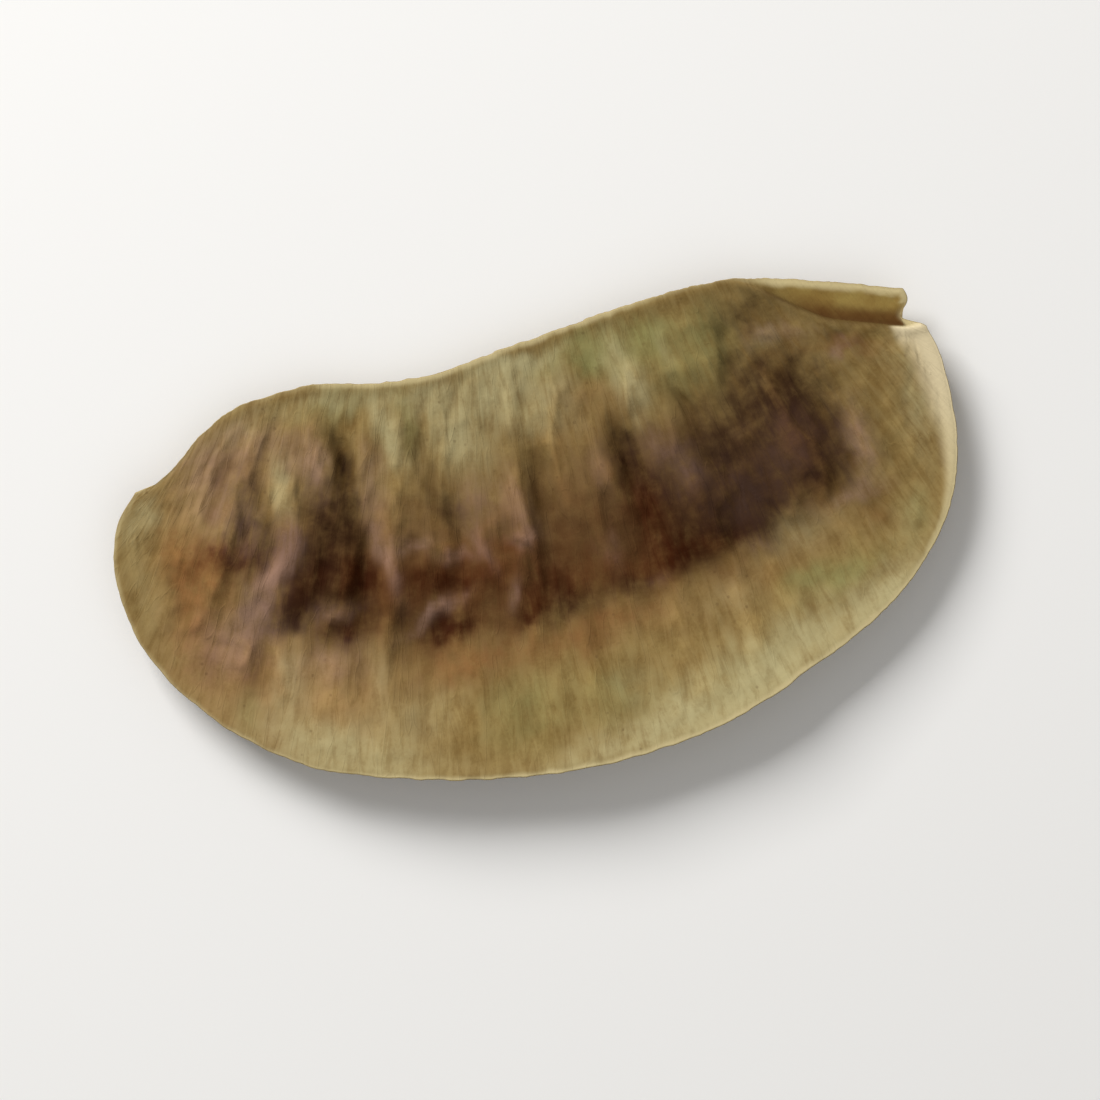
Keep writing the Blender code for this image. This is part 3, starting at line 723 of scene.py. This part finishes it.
def marks(plan, ovals):
    """Union of soft ovals, each fading as a bell from its centre; they don't add past 1."""
    clear = np.ones(plan.shape[:-1])
    for x, y, half_length, half_breadth, turn, strength in ovals:
        angle = math.radians(turn)
        offset = plan - np.array([x, y])
        lengthwise = offset @ np.array([math.cos(angle), math.sin(angle)]) / half_length
        sidewise = offset @ np.array([-math.sin(angle), math.cos(angle)]) / half_breadth
        clear *= 1.0 - strength * np.exp(-MARK_FADE * (lengthwise**2 + sidewise**2))
    return 1.0 - clear


def lower_ovals(seed, per_seed, spread, strength):
    """Marks of the lower face: a few ovals drawn at random round each seed."""
    draw = np.random.default_rng(seed)
    ovals = []
    for centre, _ in seed_places():
        for _ in range(per_seed):
            x, y = centre + draw.uniform(-1.0, 1.0, 2) * np.array(spread)
            long, wide = draw.uniform(LEAST_MARK, LARGEST_MARK)
            turn = draw.uniform(-MARK_TURN, MARK_TURN)
            ovals.append((x, y, long, wide, turn, strength * draw.uniform(WEAKEST_MARK, 1.0)))
    return ovals


def streaked(plan, along, across, seed):
    """The plan shaken by noise that is drawn out from seam to seam, so that marks get ragged."""
    along_pod = layered_noise(along, across, SHAKES_ALONG, seed)
    across_pod = layered_noise(along, across, SHAKES_ACROSS, seed + SECOND_DRAWS)
    return plan + np.stack([along_pod, across_pod], axis=-1)


def seed_bands(plan, along, across):
    """The brown band along the row of seeds and its darker core: each a bell across its own
    middle line, which wanders, with a reach toward each seam, fading at both ends of the row."""
    from_row = (across - seed_row(along)) * breadth_at(plan)
    from_row += layered_noise(along, across, BAND_WANDER, SEEDS["band"])
    from_row += STALK_END_RISE * ramp(plan[..., 0], *STALK_END_RAMP)
    from_row += BEAKED_END_RISE * ramp(plan[..., 0], *BEAKED_END_RAMP)
    ends = ramp(along, *BAND_START) * ramp(along, *BAND_STOP)
    bells = []
    for middle, straight_reach, bowed_reach in (BAND, CORE):
        past = from_row - middle
        reach = np.where(past < 0.0, straight_reach, bowed_reach)
        bells.append(np.exp(-np.abs(past / reach) ** BAND_SHARPNESS) * ends)
    return bells


def face_masks(plan, along, across, inset, relief, upper):
    """Masks of one face by name, for its materials: from 0 to 1, and the relief from -1 to 1."""
    if upper:
        shaken = streaked(plan, along, across, SEEDS["marks above"])
        tones = {name: marks(shaken, ovals) for name, ovals in UPPER_MARKS.items()}
        strip, past, onset = bared_strip(plan)
        # Painted shadow along the foot of the strip's step, under the upper half's edge.
        foot = bell(past, STEP_SHADOW_WIDTH) * onset
    else:
        shaken = streaked(plan, along, across, SEEDS["marks below"])
        tones = {}
        for name, rule in LOWER_DRAWS.items():
            ovals = lower_ovals(*rule) + list(SHARED_MARKS.get(name, ()))
            tones[name] = marks(shaken, ovals)
        strip = foot = past = np.zeros(inset.shape)
    x, y = plan[..., 0], plan[..., 1]
    end = ramp(x, *END_ALONG) * ramp(y, *END_UP) * (1.0 - strip)
    lip = ramp(x, *LIP_ALONG) * ramp(y, *LIP_UP) * strip
    bowed = ramp(across, *BOWED_HALF)
    seam = ramp(x, *SEAM_START) * ramp(x, *SEAM_STOP) * (1.0 - bowed)

    # Pale edge: bleached fibre, with painted highlight toward the bowed seam and at the beaked end.
    fibre_and_highlight = EDGE_LEAST + (1.0 - EDGE_LEAST) * bowed
    from_stalk = ramp(x, *EDGE_FROM_STALK)
    fibre_and_highlight *= EDGE_LEAST_AT_STALK + (1.0 - EDGE_LEAST_AT_STALK) * from_stalk
    fibre_and_highlight = np.maximum(fibre_and_highlight + EDGE_ON_SEAM * seam, end + lip)
    width = EDGE_WIDTH + EDGE_MORE_BOWED * bowed * ramp(x, *EDGE_BOWED_ALONG)
    width += EDGE_MORE_SEAM * seam + EDGE_MORE_END * end + EDGE_MORE_LIP * lip
    shake = lattice_noise(along, across, *EDGE_SHAKE_CELLS, SEEDS["edge"])
    width += (EDGE_SHAKE - EDGE_SHAKE_LESS_END * end) * shake
    softness = EDGE_SOFTNESS + EDGE_SOFTNESS_MORE_END * end
    tones["edge"] = fibre_and_highlight * (1.0 - ease((inset - width) / softness + 0.5))
    tones["end"] = end
    tones["band"], tones["core"] = seed_bands(plan, along, across)
    tones["strip"] = strip * ramp(x, *STRIP_ALONG)
    # Painted shade over the strip's lower part, toward its foot, where the upper half's edge shades it.
    tones["shade"] = strip * ramp(x, *SHADE_ALONG) * ramp(past, *SHADE_OUTWARD)
    tones["foot"] = foot
    tones["relief"] = relief
    return tones


def pod_faces():
    """Plan grid, outline indices, heights of both faces in millimetres and the masks of each."""
    plan, along, across = pod_plan()
    loop = rim_loop()
    outline = plan[loop[:, 0], loop[:, 1]]
    # Every second point will do. Their number is even, so the line still closes.
    closed = np.concatenate([outline, outline[:1]])[::2]
    inset = distance_to_line(plan, closed)
    inset[loop[:, 0], loop[:, 1]] = 0.0

    middle = bend(plan)
    half = half_thickness(plan, along, across, inset)
    shaken = streaked(plan, along, across, SEEDS["folds"])
    shared = fold_height(shaken, FOLDS) * ease((inset - FOLD_RIM_GAP) / FOLD_FADE)
    fine = fold_height(shaken, FINE_FOLDS)
    strip, past, onset = bared_strip(plan)
    lip = STRIP_LIP * bell(past - STRIP_LIP_PLACE, STRIP_LIP_WIDTH) * onset

    place = (along, across, inset)
    above = shared + fine + ripple(*place, RIPPLES_ABOVE)
    above += wrinkles(*place, SEEDS["wrinkles above"]) + creases(*place, SEEDS["creases above"])
    below = ripple(*place, RIPPLES_BELOW) + wrinkles(*place, SEEDS["wrinkles below"])
    below -= creases(*place, SEEDS["creases below"])
    upper = middle + half + above * (1.0 - STRIP_SMOOTHNESS * strip) + lip - STRIP_DROP_ABOVE * strip
    lower = middle - half + FOLD_SHARE_BELOW * shared + below - STRIP_DROP_BELOW * strip
    lower = np.maximum(lower, REST_HEIGHT)

    upper_masks = face_masks(plan, *place, np.clip(above / FULL_CREST_ABOVE, -1, 1), True)
    lower_masks = face_masks(plan, *place, np.clip(-below / FULL_CREST_BELOW, -1, 1), False)
    return plan, along, across, loop, upper, lower, upper_masks, lower_masks


def strips_between(rings):
    """Quads between each ring of point numbers and the next one, facing away from the pod."""
    quads = []
    for high, low in zip(rings[:-1], rings[1:]):
        quads.append(np.stack([low, np.roll(low, -1), np.roll(high, -1), high], 1))
    return np.concatenate(quads)


def rim_points(outline, top, bottom):
    """Rings of points round the outline: its groove's profile, carried along it."""
    travel = np.roll(outline, -RIM_SMOOTHING, axis=0) - np.roll(outline, RIM_SMOOTHING, axis=0)
    travel /= np.linalg.norm(travel, axis=1)[:, None]
    inward = np.stack([-travel[:, 1], travel[:, 0]], axis=-1)
    rings = []
    for depth, height in RIM_PROFILE:
        level = bottom + height * (top - bottom)
        rings.append(np.column_stack([outline + depth * inward, level]))
    return rings


def add_masks(mesh, upper_masks, lower_masks, loop):
    """Each mask as an attribute of the mesh. The rim has the masks of the upper face's edge."""
    for name in upper_masks:
        values = [upper_masks[name].ravel(), lower_masks[name].ravel()]
        values.append(np.tile(upper_masks[name][loop[:, 0], loop[:, 1]], len(RIM_PROFILE)))
        attribute = mesh.attributes.new(name, "FLOAT", "POINT")
        attribute.data.foreach_set("value", np.concatenate(values).astype(np.float32))


def add_map(mesh, plan, along, across, outline):
    """The wall map: along the pod and from seam to seam on the faces, round the outline and from
    ring to ring on the rim, all in millimetres."""
    wall_u = (MAP_LENGTH * along).ravel()
    wall_v = ((across - MAP_ZERO) * breadth_at(plan)).ravel()
    rim_u = np.concatenate([[0.0], np.cumsum(np.linalg.norm(np.diff(outline, axis=0), axis=1))])
    rim_v = [np.full(len(outline), MAP_RING_STEP * step) for step in range(len(RIM_PROFILE))]
    u = np.concatenate([wall_u, wall_u + MAP_GAP, np.tile(rim_u, len(RIM_PROFILE))])
    v = np.concatenate([wall_v, wall_v] + rim_v)
    of_corner = np.empty(len(mesh.loops), dtype=np.int32)
    mesh.loops.foreach_get("vertex_index", of_corner)
    layer = mesh.uv_layers.new(name="wall")
    layer.data.foreach_set("uv", np.column_stack([u, v])[of_corner].astype(np.float32).ravel())


def pod_mesh():
    """The pod's mesh: the two faces on the plan grid, closed by a rim with a groove between two
    lips. Its box is centred over the frame's own and its lowest point lies at the same height."""
    plan, along, across, loop, upper, lower, upper_masks, lower_masks = pod_faces()
    count = STATIONS * ROWS
    upper_points = np.concatenate([plan, upper[..., None]], axis=-1).reshape(-1, 3)
    lower_points = np.concatenate([plan, lower[..., None]], axis=-1).reshape(-1, 3)
    outline = plan[loop[:, 0], loop[:, 1]]
    rim_rings = rim_points(outline, upper[loop[:, 0], loop[:, 1]], lower[loop[:, 0], loop[:, 1]])
    points = np.concatenate([upper_points, lower_points] + rim_rings)

    number = np.arange(count).reshape(STATIONS, ROWS)
    corners = [number[:-1, :-1], number[:-1, 1:], number[1:, 1:], number[1:, :-1]]
    face = np.stack([corner.ravel() for corner in corners], 1)
    upper_ring = number[loop[:, 0], loop[:, 1]]
    rings = [upper_ring]
    for step in range(len(RIM_PROFILE)):
        rings.append(2 * count + step * len(loop) + np.arange(len(loop)))
    rings.append(upper_ring + count)
    rim = strips_between(rings)
    quads = np.concatenate([face, face[:, ::-1] + count, rim])

    box_low, box_high = (np.array(corner) / METRES_PER_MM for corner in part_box("pod"))
    shift = 0.5 * (box_low + box_high) - 0.5 * (points.min(axis=0) + points.max(axis=0))
    shift[2] = box_low[2] - points[:, 2].min()
    mesh = bpy.data.meshes.new("pod skin")
    mesh.from_pydata(((points + shift) * METRES_PER_MM).tolist(), [], quads.tolist())
    mesh.polygons.foreach_set("use_smooth", np.ones(len(quads), dtype=bool))
    slots = np.zeros(len(quads), dtype=np.int32)
    slots[2 * len(face):] = 1
    mesh.polygons.foreach_set("material_index", slots)
    add_masks(mesh, upper_masks, lower_masks, loop)
    add_map(mesh, plan, along, across, outline)
    mesh.update()
    return mesh


def put(tree, kind, inputs=None, **settings):
    """Add a node, set its own settings, and fill or link its inputs by name or by number."""
    made = tree.nodes.new(kind)
    for name, value in settings.items():
        setattr(made, name, value)
    for key, value in (inputs or {}).items():
        if isinstance(value, bpy.types.NodeSocket):
            tree.links.new(value, made.inputs[key])
        else:
            made.inputs[key].default_value = value
    return made


def math_node(tree, operation, first, second=0.0):
    """One sum, difference or product of two values, or the size of the first."""
    return put(tree, "ShaderNodeMath", {0: first, 1: second}, operation=operation).outputs[0]


def times(tree, first, second):
    """Product of two values."""
    return math_node(tree, "MULTIPLY", first, second)


def stretched(tree, vector, factors):
    """The vector times a factor for each of its coordinates."""
    inputs = {0: vector, 1: factors}
    return put(tree, "ShaderNodeVectorMath", inputs, operation="MULTIPLY").outputs[0]


def scaled(tree, vector, factor):
    """The vector times one factor."""
    return put(tree, "ShaderNodeVectorMath", {0: vector, 3: factor}, operation="SCALE").outputs[0]


def noise_node(tree, vector, settings):
    """Noise at the vector, with its other inputs by name."""
    return put(tree, "ShaderNodeTexNoise", {"Vector": vector, **settings}).outputs[0]


def blend_colour(tree, factor, first, second, way="MIX"):
    """First colour with the second laid over it by the factor, or multiplied by it."""
    inputs = {0: factor, 6: first, 7: second}
    return put(tree, "ShaderNodeMix", inputs, data_type="RGBA", blend_type=way).outputs[2]


def remap(tree, value, low, high, to_low=0.0, to_high=1.0):
    """Smooth rise from one value to another as the input goes from low to high."""
    inputs = {"Value": value, "From Min": low, "From Max": high, "To Min": to_low, "To Max": to_high}
    return put(tree, "ShaderNodeMapRange", inputs, interpolation_type="SMOOTHSTEP").outputs["Result"]


def new_group(name, inputs, outputs):
    """Shader node group with named float inputs (or vectors, where the default is a tuple)."""
    group = bpy.data.node_groups.new(name, "ShaderNodeTree")
    for label, default in inputs.items():
        kind = "NodeSocketVector" if isinstance(default, tuple) else "NodeSocketFloat"
        socket = group.interface.new_socket(label, in_out="INPUT", socket_type=kind)
        socket.default_value = default
    for label in outputs:
        group.interface.new_socket(label, in_out="OUTPUT", socket_type="NodeSocketFloat")
    return group, group.nodes.new("NodeGroupInput"), group.nodes.new("NodeGroupOutput")


# Grain of the wall: how its streaks and its veins are stretched along the pod and across it, and
# the inputs of each noise and of the specks' cells.
STREAK_STRETCH = (2.2, 0.42, 1.0)
VEIN_STRETCH = (1.4, 0.22, 1.0)
STREAK_NOISE = {"Scale": 1.0, "Detail": 5.0, "Roughness": 0.6, "Distortion": 0.7}
VEIN_NOISE = {"Scale": 1.0, "Detail": 1.5, "Distortion": 0.3}
MOTTLE_NOISE = {"Scale": 0.55, "Detail": 6.0, "Roughness": 0.62}
BLOTCH_NOISE = {"Scale": 1.0, "Detail": 4.0, "Roughness": 0.55, "Distortion": 0.15}
PIT_NOISE = {"Scale": 5.5, "Detail": 4.0, "Roughness": 0.6}
SPECK_CELLS = {"Scale": 1.5, "Randomness": 1.0}
SPECK_PLACES = {"Scale": 0.30, "Detail": 2.0}

# How far from the middle of its noise a vein reaches, the values between which a speck ends and
# those between which the noise of the specks' places lets them show, and the shares of the streaks,
# the veins and the pits in the height.
VEIN_REACH = 0.020
SPECK_EDGE = (0.07, 0.17)
SPECK_PLACE_EDGE = (0.48, 0.62)
STREAK_SHARE = 0.55
VEIN_SHARE = 0.14
PIT_SHARE = 0.22


def grain_group():
    """Grain of a dried wall: streaks and veins drawn out along the second coordinate, mottling
    and specks, and the height that they give to the surface."""
    nowhere = (0.0, 0.0, 0.0)
    inputs = {"Wall": nowhere, "Place": nowhere, "Fineness": 1.0, "Veins": 1.0, "Specks": 1.0}
    group, given, result = new_group("dry wall grain", inputs, GRAIN_OUTPUTS)
    wall = scaled(group, given.outputs["Wall"], given.outputs["Fineness"])
    place = given.outputs["Place"]

    streak = noise_node(group, stretched(group, wall, STREAK_STRETCH), STREAK_NOISE)
    net = noise_node(group, stretched(group, wall, VEIN_STRETCH), VEIN_NOISE)
    from_middle = math_node(group, "ABSOLUTE", math_node(group, "SUBTRACT", net, 0.5))
    vein = remap(group, from_middle, 0.0, VEIN_REACH, 1.0, 0.0)
    vein = times(group, vein, given.outputs["Veins"])

    mottle = noise_node(group, place, MOTTLE_NOISE)
    blotch = noise_node(group, place, BLOTCH_NOISE)
    dots = put(group, "ShaderNodeTexVoronoi", {"Vector": place, **SPECK_CELLS})
    dot = remap(group, dots.outputs["Distance"], *SPECK_EDGE, 1.0, 0.0)
    where = noise_node(group, place, SPECK_PLACES)
    dot = times(group, dot, remap(group, where, *SPECK_PLACE_EDGE))
    speck = times(group, dot, given.outputs["Specks"])

    pits = noise_node(group, place, PIT_NOISE)
    height = times(group, streak, STREAK_SHARE)
    height = math_node(group, "ADD", height, times(group, vein, VEIN_SHARE))
    height = math_node(group, "ADD", height, times(group, pits, PIT_SHARE))

    for label, value in zip(GRAIN_OUTPUTS, (streak, vein, mottle, blotch, speck, height)):
        group.links.new(value, result.inputs[label])
    return group


# Value of a roughened mask from which it covers in full.
FULL_MASK = 1.12


def ragged_group():
    """A mask made uneven by a grain: it is scaled by 1 plus the breakup times the grain less a
    half, and then rises smoothly."""
    inputs = {"Mask": 0.0, "Grain": 0.5, "Breakup": 0.5}
    group, given, result = new_group("ragged mask", inputs, ("Mask",))
    shift = math_node(group, "SUBTRACT", given.outputs["Grain"], 0.5)
    shift = times(group, shift, given.outputs["Breakup"])
    value = times(group, given.outputs["Mask"], math_node(group, "ADD", shift, 1.0))
    group.links.new(remap(group, value, 0.0, FULL_MASK), result.inputs["Mask"])
    return group


GRAIN = grain_group()
RAGGED = ragged_group()


def place_group(tree, group, inputs):
    """A node group placed in a material with its inputs filled or linked."""
    return put(tree, "ShaderNodeGroup", inputs, node_tree=group)


def mask_of(tree, name):
    """A mask of the mesh by its name."""
    settings = {"attribute_name": name, "attribute_type": "GEOMETRY"}
    return put(tree, "ShaderNodeAttribute", **settings).outputs["Fac"]


def start_material(name, roughness):
    """New material with its Principled shader, which barely mirrors its surroundings."""
    material = bpy.data.materials.new(name)
    material.use_nodes = True
    shader = material.node_tree.nodes["Principled BSDF"]
    shader.inputs["Specular IOR Level"].default_value = FAINT_GLOSS
    shader.inputs["Roughness"].default_value = roughness
    return material, material.node_tree, shader


def grain_of(tree, fineness, veins, specks):
    """The grain group with the piece's own map and its Object coordinates in millimetres."""
    wall = put(tree, "ShaderNodeUVMap", uv_map="wall").outputs[0]
    place = scaled(tree, put(tree, "ShaderNodeTexCoord").outputs["Object"], 1.0 / METRES_PER_MM)
    inputs = {"Wall": wall, "Place": place, "Fineness": fineness, "Veins": veins, "Specks": specks}
    return place_group(tree, GRAIN, inputs).outputs


def finish_surface(tree, shader, grain, colour, roughness, bump):
    """Colour, roughness as a rise over the mottling, and fine relief from the grain's height."""
    tree.links.new(colour, shader.inputs["Base Color"])
    tree.links.new(remap(tree, grain["Mottle"], *roughness), shader.inputs["Roughness"])
    relief = put(tree, "ShaderNodeBump", {"Height": grain["Height"], **bump})
    tree.links.new(relief.outputs[0], shader.inputs["Normal"])


# Colours of the wall and of the rim.
OLIVE_TAN = srgb(140, 117, 70)
BROWN_TAN = srgb(124, 99, 55)
STREAK_TAN = srgb(152, 130, 84)
WARM_TAN = srgb(154, 121, 80)
DULL_GREEN = srgb(136, 133, 82)
BLEACHED_AND_HIGHLIGHT = srgb(175, 164, 121)
BAND_BROWN = srgb(100, 73, 44)
RUST = srgb(128, 80, 42)
CORE_BROWN = srgb(72, 41, 19)
STAIN_AND_SHADE_BROWN = srgb(38, 19, 8)
STAIN_RUST = srgb(58, 23, 5)
MAUVE_BLOOM_AND_SHEEN = srgb(160, 128, 112)
SPECK_BROWN = srgb(70, 46, 26)
STRIP_TAN = srgb(154, 131, 72)
STRIP_BROWN = srgb(137, 110, 57)
STRIP_PAINTED_SHADE = srgb(96, 66, 32)
STEP_SHADOW_BROWN = srgb(58, 36, 18)
EDGE_FIBRE = srgb(198, 182, 136)
END_FIBRE_AND_HIGHLIGHT = srgb(224, 208, 170)
RIM_PALE = srgb(172, 152, 104)
RIM_TAN = srgb(146, 121, 74)
RIM_BROWN = srgb(112, 84, 46)

# What multiplies the wall's colour: painted shade in a furrow, painted highlight on a crest, a vein,
# and painted shade in a hollow of the grain.
FURROW_PAINTED_SHADE = (0.42, 0.34, 0.26, 1.0)
CREST_PAINTED_HIGHLIGHT = (1.55, 1.50, 1.45, 1.0)
VEIN_TINT = (0.45, 0.36, 0.28, 1.0)
HOLLOW_PAINTED_SHADE = (0.66, 0.60, 0.54, 1.0)

# Rises of the looks: the input at which each starts and ends, and the values there where they
# aren't 0 and 1.
BROWN_TAN_RISE = (0.36, 0.64)
STREAK_TAN_RISE = (0.40, 0.75, 0.0, 0.5)
FURROW_SHADE_RISE = (-0.1, -1.3, 0.0, 0.60)
CREST_HIGHLIGHT_RISE = (0.15, 1.2, 0.0, 0.60)
HOLLOW_SHADE_RISE = (0.40, 0.30, 0.0, 0.34)
STRIP_BROWN_RISE = (0.35, 0.65)
WALL_ROUGHNESS = (0.3, 0.7, 0.60, 0.74)
RIM_TAN_RISE = (0.35, 0.75)
RIM_BROWN_RISE = (0.48, 0.68, 0.0, 0.45)
RIM_ROUGHNESS = (0.3, 0.7, 0.54, 0.7)

# How strongly the marks cover what lies under them, how far the grain breaks some of them up, and
# how much of the grain of the larger marks is blotches and how much streaks.
VEIN_COVER = 0.08
SPECK_COVER = 0.28
STEP_SHADOW_COVER = 0.55
EDGE_COVER = 0.88
EDGE_BREAKUP = 0.3
STAIN_BREAKUP = 1.0
SHADE_BREAKUP = 1.0
BLOTCH_PART = 0.55
STREAK_PART = 0.45

WALL_BUMP = {"Strength": 0.55, "Distance": 0.12 * METRES_PER_MM}
RIM_BUMP = {"Strength": 0.5, "Distance": 0.1 * METRES_PER_MM}


def wall_material():
    """Papery wall: olive tan, with warm, green and pale places, partly bleached and partly painted
    highlight on ridges, the brown band, stains of the seeds with one painted shade, rust and mauve
    bloom with painted sheen laid over each other, painted shade in furrows and hollows, painted
    highlight on crests, fine veins, specks, the bared strip with its painted shade and the painted
    shadow at its foot, and a pale edge of fibre with painted highlight."""
    material, tree, shader = start_material("pod wall", roughness=0.66)
    grain = grain_of(tree, fineness=1.0, veins=1.0, specks=1.0)
    streaks = grain["Streaks"]
    mottle = grain["Mottle"]

    def ragged(name, breakup, source=streaks):
        inputs = {"Mask": mask_of(tree, name), "Grain": source, "Breakup": breakup}
        return place_group(tree, RAGGED, inputs).outputs["Mask"]

    blotches = times(tree, grain["Blotch"], BLOTCH_PART)
    blotch = math_node(tree, "ADD", blotches, times(tree, streaks, STREAK_PART))
    colour = blend_colour(tree, remap(tree, mottle, *BROWN_TAN_RISE), OLIVE_TAN, BROWN_TAN)
    colour = blend_colour(tree, remap(tree, streaks, *STREAK_TAN_RISE), colour, STREAK_TAN)
    # Colour of the dark marks: stains of the seeds, and painted shade where one mark lies beside a
    # fold.
    stain_and_shade = blend_colour(tree, ragged("rust", STAIN_BREAKUP), STAIN_AND_SHADE_BROWN, STAIN_RUST)
    # Layers from the lowest up: mask, how far the grain breaks it up, how strongly it covers, colour.
    layers = (
        # The pale layer is partly painted highlight on ridges.
        ("warm", 1.8, 0.85, WARM_TAN), ("green", 1.8, 0.85, DULL_GREEN), ("pale_and_highlight", 2.0, 0.90, BLEACHED_AND_HIGHLIGHT),
        ("band", 1.3, 0.84, BAND_BROWN), ("rust", 2.2, 0.78, RUST), ("core", 1.9, 0.60, CORE_BROWN),
        # The mauve layer is partly painted sheen on ridge tops, and one mark of the dark layer is
        # painted shade.
        ("dark", 2.4, 0.96, stain_and_shade), ("mauve_and_sheen", 2.0, 0.58, MAUVE_BLOOM_AND_SHEEN),
    )
    for name, breakup, strength, tone in layers:
        share = times(tree, ragged(name, breakup, blotch), strength)
        colour = blend_colour(tree, share, colour, tone)

    # Painted shade in furrows and in the grain's hollows, and painted highlight on crests, multiplied
    # into the colour; the veins are darker lines of the wall itself.
    relief = mask_of(tree, "relief")
    tints = (
        (remap(tree, relief, *FURROW_SHADE_RISE), FURROW_PAINTED_SHADE),
        (remap(tree, relief, *CREST_HIGHLIGHT_RISE), CREST_PAINTED_HIGHLIGHT),
        (times(tree, grain["Veins"], VEIN_COVER), VEIN_TINT),
        (remap(tree, grain["Height"], *HOLLOW_SHADE_RISE), HOLLOW_PAINTED_SHADE),
    )
    for share, tint in tints:
        colour = blend_colour(tree, share, colour, tint, "MULTIPLY")
    colour = blend_colour(tree, times(tree, grain["Specks"], SPECK_COVER), colour, SPECK_BROWN)

    bared = blend_colour(tree, remap(tree, mottle, *STRIP_BROWN_RISE), STRIP_TAN, STRIP_BROWN)
    # Painted shade over the strip, toward its foot.
    bared = blend_colour(tree, ragged("shade", SHADE_BREAKUP, blotch), bared, STRIP_PAINTED_SHADE)
    colour = blend_colour(tree, mask_of(tree, "strip"), colour, bared)
    # Painted shadow at the foot of the strip's step.
    colour = blend_colour(tree, times(tree, mask_of(tree, "foot"), STEP_SHADOW_COVER), colour, STEP_SHADOW_BROWN)
    # Pale fibre of the edge, with a cream painted highlight at the beaked end.
    fibre = blend_colour(tree, mask_of(tree, "end"), EDGE_FIBRE, END_FIBRE_AND_HIGHLIGHT)
    edge = times(tree, ragged("edge", EDGE_BREAKUP), EDGE_COVER)
    colour = blend_colour(tree, edge, colour, fibre)
    finish_surface(tree, shader, grain, colour, WALL_ROUGHNESS, WALL_BUMP)
    return material


def rim_material():
    """Rim between the faces: pale fibre with tan streaks and browner places."""
    material, tree, shader = start_material("pod rim", roughness=0.62)
    grain = grain_of(tree, fineness=1.6, veins=0.3, specks=0.6)
    colour = blend_colour(tree, remap(tree, grain["Streaks"], *RIM_TAN_RISE), RIM_PALE, RIM_TAN)
    colour = blend_colour(tree, remap(tree, grain["Mottle"], *RIM_BROWN_RISE), colour, RIM_BROWN)
    finish_surface(tree, shader, grain, colour, RIM_ROUGHNESS, RIM_BUMP)
    return material


def dress_pod():
    """The fine pod in the place of the frame's plain one."""
    pod = bpy.data.objects.new("pod_skin", pod_mesh())
    bpy.context.scene.collection.objects.link(pod)
    pod.data.materials.append(wall_material())
    pod.data.materials.append(rim_material())
    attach(pod, "root")
    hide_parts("pod")


# Camera: turn of the picture in degrees, width of its frame at the floor, and lens and sensor in mm.
PICTURE_TURN = 14.69
FRAME_WIDTH = 58.0 * METRES_PER_MM
LENS = 150.0
SENSOR = 36.0

# Floor: half its width and its drop below the pod, in metres, its colour and its roughness.
FLOOR_HALF = 1.5
FLOOR_DROP = 0.00002
FLOOR_COLOUR = (0.86, 0.85, 0.83, 1.0)
FLOOR_ROUGHNESS = 0.8

# Lights: side of the picture in degrees, height in degrees, power in watts and width in metres. All
# stand at one distance in metres. The surroundings give the rest.
KEY = (128.0, 35.0, 2.34, 0.22)
FILL = (300.0, 55.0, 0.35, 0.5)
LIGHT_DISTANCE = 0.45
STUDIO_COLOUR = (1.0, 0.99, 0.97, 1.0)
STUDIO_STRENGTH = 0.28


def lay_floor():
    """Wide pale floor under the pod."""
    level = float(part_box("pod")[0][2]) - FLOOR_DROP
    corners = [(x * FLOOR_HALF, y * FLOOR_HALF, level) for x, y in ((-1, -1), (1, -1), (1, 1), (-1, 1))]
    mesh = bpy.data.meshes.new("floor")
    mesh.from_pydata(corners, [], [(0, 1, 2, 3)])
    floor = bpy.data.objects.new("floor", mesh)
    bpy.context.scene.collection.objects.link(floor)
    material, _, shader = start_material("floor", FLOOR_ROUGHNESS)
    shader.inputs["Base Color"].default_value = FLOOR_COLOUR
    mesh.materials.append(material)


def add_light(name, toward, height, power, size):
    """Soft square light on the side of the picture that `toward` names in degrees, from its
    right counter-clockwise, at `height` degrees above the floor, aimed at the pod."""
    light = bpy.data.lights.new(name, "AREA")
    light.energy = power
    light.size = size
    lamp = bpy.data.objects.new(name, light)
    bpy.context.scene.collection.objects.link(lamp)
    side = math.radians(toward - PICTURE_TURN)
    rise = math.radians(height)
    flat = LIGHT_DISTANCE * math.cos(rise)
    lamp.location = (flat * math.cos(side), flat * math.sin(side), LIGHT_DISTANCE * math.sin(rise))
    lamp.rotation_euler = (math.pi / 2 - rise, 0.0, side + math.pi / 2)


def set_light():
    """Soft key from the picture's upper left, weak fill from its lower right, pale surroundings."""
    add_light("key", *KEY)
    add_light("fill", *FILL)
    world = bpy.data.worlds.new("studio")
    world.use_nodes = True
    background = world.node_tree.nodes["Background"]
    background.inputs["Color"].default_value = STUDIO_COLOUR
    background.inputs["Strength"].default_value = STUDIO_STRENGTH
    bpy.context.scene.world = world
    bpy.context.scene.view_settings.view_transform = "Standard"
    bpy.context.scene.view_settings.look = "None"


def set_camera():
    """Camera straight above the pod, turned so that the beaked end lies up and to the right."""
    camera = bpy.data.cameras.new("camera")
    camera.lens = LENS
    camera.sensor_width = SENSOR
    eye = bpy.data.objects.new("camera", camera)
    bpy.context.scene.collection.objects.link(eye)
    eye.location = (0.0, 0.0, FRAME_WIDTH * LENS / SENSOR)
    eye.rotation_euler = (0.0, 0.0, -math.radians(PICTURE_TURN))
    bpy.context.scene.camera = eye


set_camera()
dress_pod()
lay_floor()
set_light()
